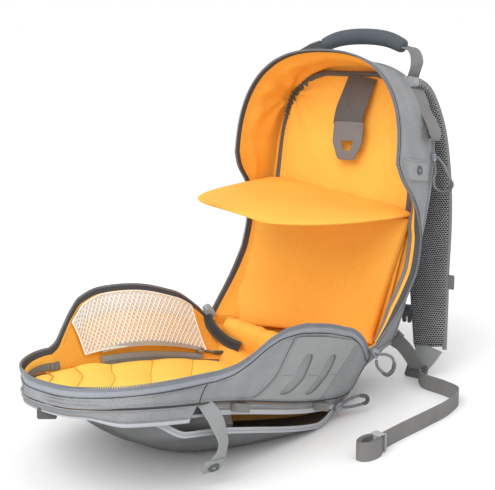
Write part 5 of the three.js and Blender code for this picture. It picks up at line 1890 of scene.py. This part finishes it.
class PACK_OT_lid_pockets(bpy.types.Operator):
    """Quilted pocket, gathered elastic and the white net pocket with its zip"""

    bl_idname = "pack.lid_pockets"
    bl_label = "Lid pockets"

    def execute(self, context):
        top = lid_sheet(QUILT["inset"], QUILT["start"], 110, 130, quilt_height)
        foot = lid_sheet(QUILT["inset"], QUILT["start"], 110, 130, level(4.2))
        made = shell("quilted_pocket_pad", top, foot, "quilt", ["quilted_pocket"], sharp=75)
        # Lines along the quilt's seams, darker orange as painted shade in their valleys.
        for k in range(-5, 5):
            turn = math.radians(QUILT["turn"] + k * QUILT["pitch"])
            reach = np.linspace(760, 1600, 420)
            u, t = QUILT["u"] - reach * math.sin(turn), QUILT["t"] - reach * math.cos(turn)
            inside = (np.abs(u) < lid_half(t, QUILT["inset"]) * 0.97) & (t > 36) & (t < 436)
            if inside.sum() > 8:
                u, t = u[inside], t[inside]
                q = u / lid_half(t, QUILT["inset"])
                tube("quilt_seam", from_lid(u, t, quilt_height(q, t, u) + 1.0), 0.6, "quilt_line", sides=6)

        a, b = grid(150, 8)
        s, h = lerp(0.53, 0.67, a), lerp(0.18, 0.46, b)
        wave = 1.1 * np.sin(a * 150) * np.sin(math.pi * b) ** 0.5
        outer = -5.0 - 1.2 + wave
        cloth("pocket_elastic_gather", lid_wall, s, h, outer, outer - 1.6, "webbing", ["pocket_elastic"])

        def net_place(a, b):
            s = lid_place(lerp(lerp(14, 40, b), lerp(238, 256, b), a), -1)
            return s, lerp(0.22, 1 - lid_share(s, 9.0), b)

        def net_at(a, b):
            return offset(lid_wall, *net_place(a, b), -7.8 - 5 * np.sin(math.pi * a) * (1 - b))

        across = 2 * round(216 / millimetres("net_pitch"))
        net("mesh_pocket_net", net_at, across, 16, millimetres("net_thread"), "net", ["mesh_pocket"])
        a, b = grid(60, 10)
        s, h = net_place(a, lerp(0.62, 1.0, b))
        cloth("mesh_pocket_band", lid_wall, s, h, -6.2, -6.7, "tricot")
        a, b = grid(60, 14)
        s, h = net_place(a, 0.64 * b)
        depth = -6.2 - 4.8 * np.sin(math.pi * a) * (1 - 0.64 * b)
        cloth("mesh_pocket_veil", lid_wall, s, h, depth, depth - 0.5, "veil")
        tube("mesh_pocket_edge", net_at(*square_run(0.0, 1.0, 300)), 1.1, "net", sides=8)

        a, b = grid(90, 4)
        s = lid_place(lerp(20, 208, a), -1)
        bow = np.sin(math.pi * a)
        cloth("mesh_zip_lower", lid_wall, s, lerp(0.06, 0.14, b), -6.8, -8.0, "tape", ["mesh_zip_tape"])
        h = lerp(0.185, 0.24, b) + 0.03 * bow
        cloth("mesh_zip_upper", lid_wall, s, h, -8.6 - 5 * bow, -9.8 - 5 * bow, "piping")
        a, b = grid(260, 4)
        s = lid_place(lerp(30, 205, a), -1)
        outer = -8.6 - 1.5 * np.sin(a * 230) * (1 - b)
        cloth("quilt_gather", lid_wall, s, lerp(-0.01, 0.07, b), outer, outer - 1.0, "webbing")
        return {"FINISHED"}


panel_at = {name: smooth(PANEL, "h", name) for name in PANEL if name != "h"}
PANEL_STRIP = 14


def panel_lines(h):
    """Distances from the hinge of the panel's two edges and of the sides of its slots."""
    middle, span = (SLOT["low"] + SLOT["high"]) / 2, (SLOT["high"] - SLOT["low"]) / 2
    open_share = np.clip(1 - np.abs((h - middle) / span) ** 6, 0, 1) ** 0.45
    half = np.maximum(SLOT["half"] * open_share, 0.5)
    slots = [panel_at[name](h) + side * half for name in ("slot_left", "slot_right") for side in (1, -1)]
    return np.stack([panel_at["left"](h), *slots, panel_at["right"](h)])


class PACK_OT_slotted_panel(bpy.types.Operator):
    """Panel with two long slots on the near side of the lid"""

    bl_idname = "pack.slotted_panel"
    bl_label = "Slotted panel"

    def execute(self, context):
        rows = np.linspace(PANEL["h"][0], PANEL["h"][-1], 82)
        lines = panel_lines(rows)
        share = np.linspace(0, 5, 5 * PANEL_STRIP + 1)
        strip = np.minimum(share.astype(int), 4)
        t = lerp(lines[strip], lines[strip + 1], (share - strip)[:, None])
        s, h = lid_place(t, 1), np.broadcast_to(rows, t.shape)
        middle = (rows[1:] + rows[:-1]) / 2
        reach = (middle > SLOT["low"]) & (middle < SLOT["high"])
        slotted = np.isin(strip[:-1], (1, 3))[:, None] & reach[None, :]
        outer = 2.2 + lid_relief(s, h)
        cloth(
            "slotted_panel_sheet", lid_wall, s, h, outer, outer - 1.6, "laminate", ["slotted_panel"],
            ~slotted,
        )
        run = np.linspace(0.01, 0.99, 160)
        for side in (0.012, 0.988):
            h = lerp(PANEL["h"][0], PANEL["h"][-1], run)
            edges = panel_lines(h)
            s = lid_place(lerp(edges[0], edges[-1], side), 1)
            seam_on("grey_thread", lid_wall, s, h, lid_relief(s, h) + 2.4)
        tack = panel_lines(np.full(40, SLOT["tack"]))
        for first in (0, 2, 4):
            s = lid_place(lerp(tack[first], tack[first + 1], np.linspace(0.12, 0.88, 40)), 1)
            h = np.full(40, SLOT["tack"])
            seam_on("grey_thread", lid_wall, s, h, lid_relief(s, h) + 2.4)
        return {"FINISHED"}


def floor_at(t):
    """Height of the floor below the lid, in the lid's own coordinates."""
    return (FLOOR - t * math.sin(LID_TILT)) / math.cos(LID_TILT)


def front_sag(lift):
    """Height of the sagging front panel, which lies on the floor."""

    def at(q, t, u):
        gape = ease(t, POCKET["start"], 90) * (1 - ease(t, 340, 402))
        edge = POCKET["piping"] + 2.5 - np.where(q > 0, POCKET["gape"] * gape * q, 0) + 9 * ease(
            t, 415, 440
        )
        swing = np.sin(math.pi * np.clip((t - 10) / 418, 0, 1))
        belly = POCKET["belly"] * swing ** lerp(0.7, 1.5, ease(t, 220, 330)) * (1 - q * q)
        crumple = 1.6 * ripple(points_of(u, t, 0), 30, 51) * (1 - np.abs(q) ** 6)
        return np.maximum(edge - belly + crumple, floor_at(t - lid_skew(u, t)) - lid_bend(u, t)) + lift

    return at


class PACK_OT_front_pocket(bpy.types.Operator):
    """Front pocket under the lid: its walls, its sagging panel, its tapes and its dark net"""

    bl_idname = "pack.front_pocket"
    bl_label = "Front pocket"

    def execute(self, context):
        wall = millimetres("cloth")
        start = lid_place(POCKET["start"], 1)
        strip = front_strip(0, POCKET["piping"], POCKET["seam"])
        a, b = grid(220, 12)
        s = lerp(POCKET["flap_end"] + 0.005 * (1 - b), 1 - start, a)
        place = strip(s, b)
        waves = (1.6 * ripple(place, 24, 61) + 0.7 * ripple(place, 9, 63)) * np.sin(math.pi * b)
        cloth("front_pocket_wall_cloth", strip, s, b, wall + waves, waves, "nylon", ["front_pocket_wall"])
        a, b = grid(220, 6)
        s = lerp(POCKET["flap_end"] + 0.005, 1 - start, a)
        round_tape = 0.9 * np.sin(math.pi * b)
        cloth("front_piping", strip, s, lerp(-0.16, 0.1, b), wall + 0.6 + round_tape, wall - 1.2, "piping")
        line = np.linspace(POCKET["flap_end"] + 0.006, 1 - start, 500)
        for level in (0.22, 0.9):
            seam_on("grey_thread", strip, line, np.full(500, level), wall + 0.4)

        inset = front_strip(POCKET["inset"], POCKET["piping"] + 5.4, POCKET["seam"] - 1)
        a, b = grid(110, 10)
        s = lerp(start, POCKET["flap_end"] - 0.002, a)
        waves = 0.6 * ripple(inset(s, b), 22, 62) * np.sin(math.pi * b)
        cloth("front_zip_strip_cloth", inset, s, b, wall + waves, waves, "nylon", ["front_zip_strip"])
        a, b = grid(110, 6)
        s = lerp(start, POCKET["flap_end"] - 0.002, a)
        cloth("front_zip_tape", inset, s, lerp(-0.5, 0.12, b), wall + 0.8, wall - 0.4, "piping")
        line = np.linspace(start + 0.002, POCKET["flap_end"] - 0.004, 260)
        for level in (0.3, 0.86):
            seam_on("grey_thread", inset, line, np.full(260, level), wall + 0.3)

        rise = np.linspace(-0.05, 1.0, 12)
        hem = strip(POCKET["flap_end"] + 0.005 * (1 - rise), rise)
        tube("front_flap_hem", hem + np.array([1.2, 0, 0]), 1.3, "nylon")
        # A near-black sheet behind the end of the front flap: painted shadow in the gap there.
        a, b = grid(6, 10)
        s = POCKET["flap_end"] + lerp(-0.01, 0.006, a)
        cloth("front_flap_gap", inset, s, lerp(-0.1, 0.94, b), wall + 2.0, wall + 1.0, "seam")
        # The sagging front panel takes the darkened nylon: painted shade under the lid.
        top = lid_sheet(5, POCKET["start"], 72, 110, front_sag(wall))
        foot = lid_sheet(5, POCKET["start"], 72, 110, front_sag(0))
        shell("front_panel_cloth", top, foot, "under", ["front_panel"])
        edge = top[-1, 4:84] + np.array([-0.5, 0, 0.4])
        sweep("front_panel_tape", edge, (0, 0, 1), flat_section(), 7, 1.4, "piping")
        seam("grey_thread", edge + np.array([1.4, 0, 0]), (1, 0, 0))

        def mesh_at(a, b):
            return from_lid(96.5, lerp(60, 228, a), lerp(0.2, -26, b))

        net("front_mesh_net", mesh_at, 60, 12, 0.7, "dark_net", ["front_mesh"])
        a, b = grid(20, 6)
        back = from_lid(92, lerp(56, 230, a), lerp(0.2, -27, b))
        shell("front_mesh_backing", back, back - np.array([0.8, 0, 0]), "lining")
        # The cloth beside the dark net takes the lighter piping finish: painted light, brighter than its
        # grey cloth, inside the shaded pocket.
        t = lerp(226, 392, a)
        u = np.minimum(99, lid_half(t, 20)) + 2.5 * np.sin(9 * b + 3 * a)
        side = from_lid(u, t, lerp(-4, lerp(-34, -16, ease(t, 320, 380)), b))
        shell("front_mesh_border", side, side - np.array([0.8, 0, 0]), "piping")
        return {"FINISHED"}


class PACK_OT_fittings(bpy.types.Operator):
    """Zip sliders, snap strap, side loops and the tab at the tip"""

    bl_idname = "pack.fittings"
    bl_label = "Fittings"

    def execute(self, context):
        big = {"long": 14, "wide": 10, "thick": 5}
        small = {"long": 10, "wide": 7, "thick": 4}
        wide = {"long": 20, "wide": 14, "thick": 6}
        seat = from_body(134.2, 319, 4)
        inside = offset(lid_wall, lid_place(26, -1), 0.19, -10.5)
        for name, origin, along, across, size in (
            ("main_slider_right", (141.2, 20, 57), (0.1, 0.75, -0.65), (0, 0.65, 0.75), big),
            ("main_slider_left", (-137, 20, 70), (0.495, 0.175, -0.833), (0.617, 0.591, 0.49), wide),
            ("front_slider", (125.8, -42, -2), (0, 1, 0), (0, 0, 1), big),
            ("rear_slider", seat, (0, 0.14, -1), (0, -1, -0.14), small),
            ("mesh_slider", inside, (0, 1, -0.2), (0, 0.2, 1), small),
        ):
            slider(name, origin, along, across, size)

        thick = millimetres("webbing")
        for name, t in (("side_loop_front", 262), ("side_loop_rear", 92)):
            foot = float(lid_half(t, POCKET["inset"])) + 3.2
            steps = table("out ahead", (0, 12), (8, 9), (13, 0), (8, -8), (1, -6))
            line = curve_through(from_lid(foot + steps["out"], t + steps["ahead"], -4.6), 1.2)
            strap(name + "_web", line, (0, 0, 1), 10, thick, "webbing", [name])
        tip = from_lid(5, 443.5, -11.5)
        tab = rounded_box(9.5, -5, 5, 1.5)
        place = placed_on(tip, (0.8, 0.6, 0), (0, 0.1, 1))
        plate("tip_tab_web", tab, [], 3, 1.0, place, "elastic", ["tip_tab"])

        line = line_of(SNAP_STRAP, 2)
        turn = along_table(SNAP_STRAP, "turn", len(line))
        side = unit(points_of(turn, 1, 0))
        made = strap("snap_strap_web", line, side, 20, thick, "laminate", ["snap_strap"])
        axis = unit(np.array([0.76, -0.28, -0.58]))
        across = unit(np.array([0.35, 1, 0]))
        fold = rounded_box(10.4, -9, 9, 2.5)
        place = placed_on(line[-5], across, np.cross(axis, across))
        plate("snap_strap_fold", fold, [], 4.4, 1.2, place, "laminate")
        snap("strap_snap", line[-5] + axis * 2.4, axis)
        return {"FINISHED"}


class PACK_OT_stitching(bpy.types.Operator):
    """Stitches along all seams that the pieces have noted"""

    bl_idname = "pack.stitching"
    bl_label = "Stitching"

    def execute(self, context):
        values = {"Length": millimetres("stitch"), "Thickness": millimetres("thread")}
        for thread, rows in SEAMS.items():
            runs = [spaced(line, out, millimetres("stitch_pitch")) for line, out in rows]
            points, go, up = (np.concatenate([run[k] for run in runs]) for k in range(3))
            grow(thread + "_stitches", points, [], {"along": go, "out": up}, "stitch_row", values, thread)
        return {"FINISHED"}


OPERATORS = (
    PACK_OT_stage, PACK_OT_cords, PACK_OT_body_shell, PACK_OT_back, PACK_OT_sleeve, PACK_OT_divider,
    PACK_OT_handle, PACK_OT_straps, PACK_OT_tails, PACK_OT_bottom, PACK_OT_lid_shell, PACK_OT_lid_pockets,
    PACK_OT_slotted_panel, PACK_OT_front_pocket, PACK_OT_fittings, PACK_OT_stitching,
)


class PACK_PT_sidebar(bpy.types.Panel):
    """The pack's operators, in the order in which they run"""

    bl_idname = "PACK_PT_sidebar"
    bl_label = "Open Backpack"
    bl_space_type = "VIEW_3D"
    bl_region_type = "UI"
    bl_category = "Backpack"

    def draw(self, context):
        for operator in OPERATORS:
            self.layout.operator(operator.bl_idname)


CLASSES = (PackSizes, PackColours, *OPERATORS, PACK_PT_sidebar)


def register():
    """Makes the sizes, colours, operators and the sidebar known to Blender."""
    for made in CLASSES:
        bpy.utils.register_class(made)
    bpy.types.Scene.pack_sizes = PointerProperty(type=PackSizes)
    bpy.types.Scene.pack_colours = PointerProperty(type=PackColours)


def unregister():
    """Takes them away again."""
    del bpy.types.Scene.pack_colours
    del bpy.types.Scene.pack_sizes
    for made in reversed(CLASSES):
        bpy.utils.unregister_class(made)


def main():
    """Builds the pack."""
    register()
    bpy.ops.pack.stage()
    bpy.ops.pack.cords()
    bpy.ops.pack.body_shell()
    bpy.ops.pack.back()
    bpy.ops.pack.sleeve()
    bpy.ops.pack.divider()
    bpy.ops.pack.handle()
    bpy.ops.pack.straps()
    bpy.ops.pack.tails()
    bpy.ops.pack.bottom()
    bpy.ops.pack.lid_shell()
    bpy.ops.pack.lid_pockets()
    bpy.ops.pack.slotted_panel()
    bpy.ops.pack.front_pocket()
    bpy.ops.pack.fittings()
    bpy.ops.pack.stitching()


if __name__ == "__main__":
    main()
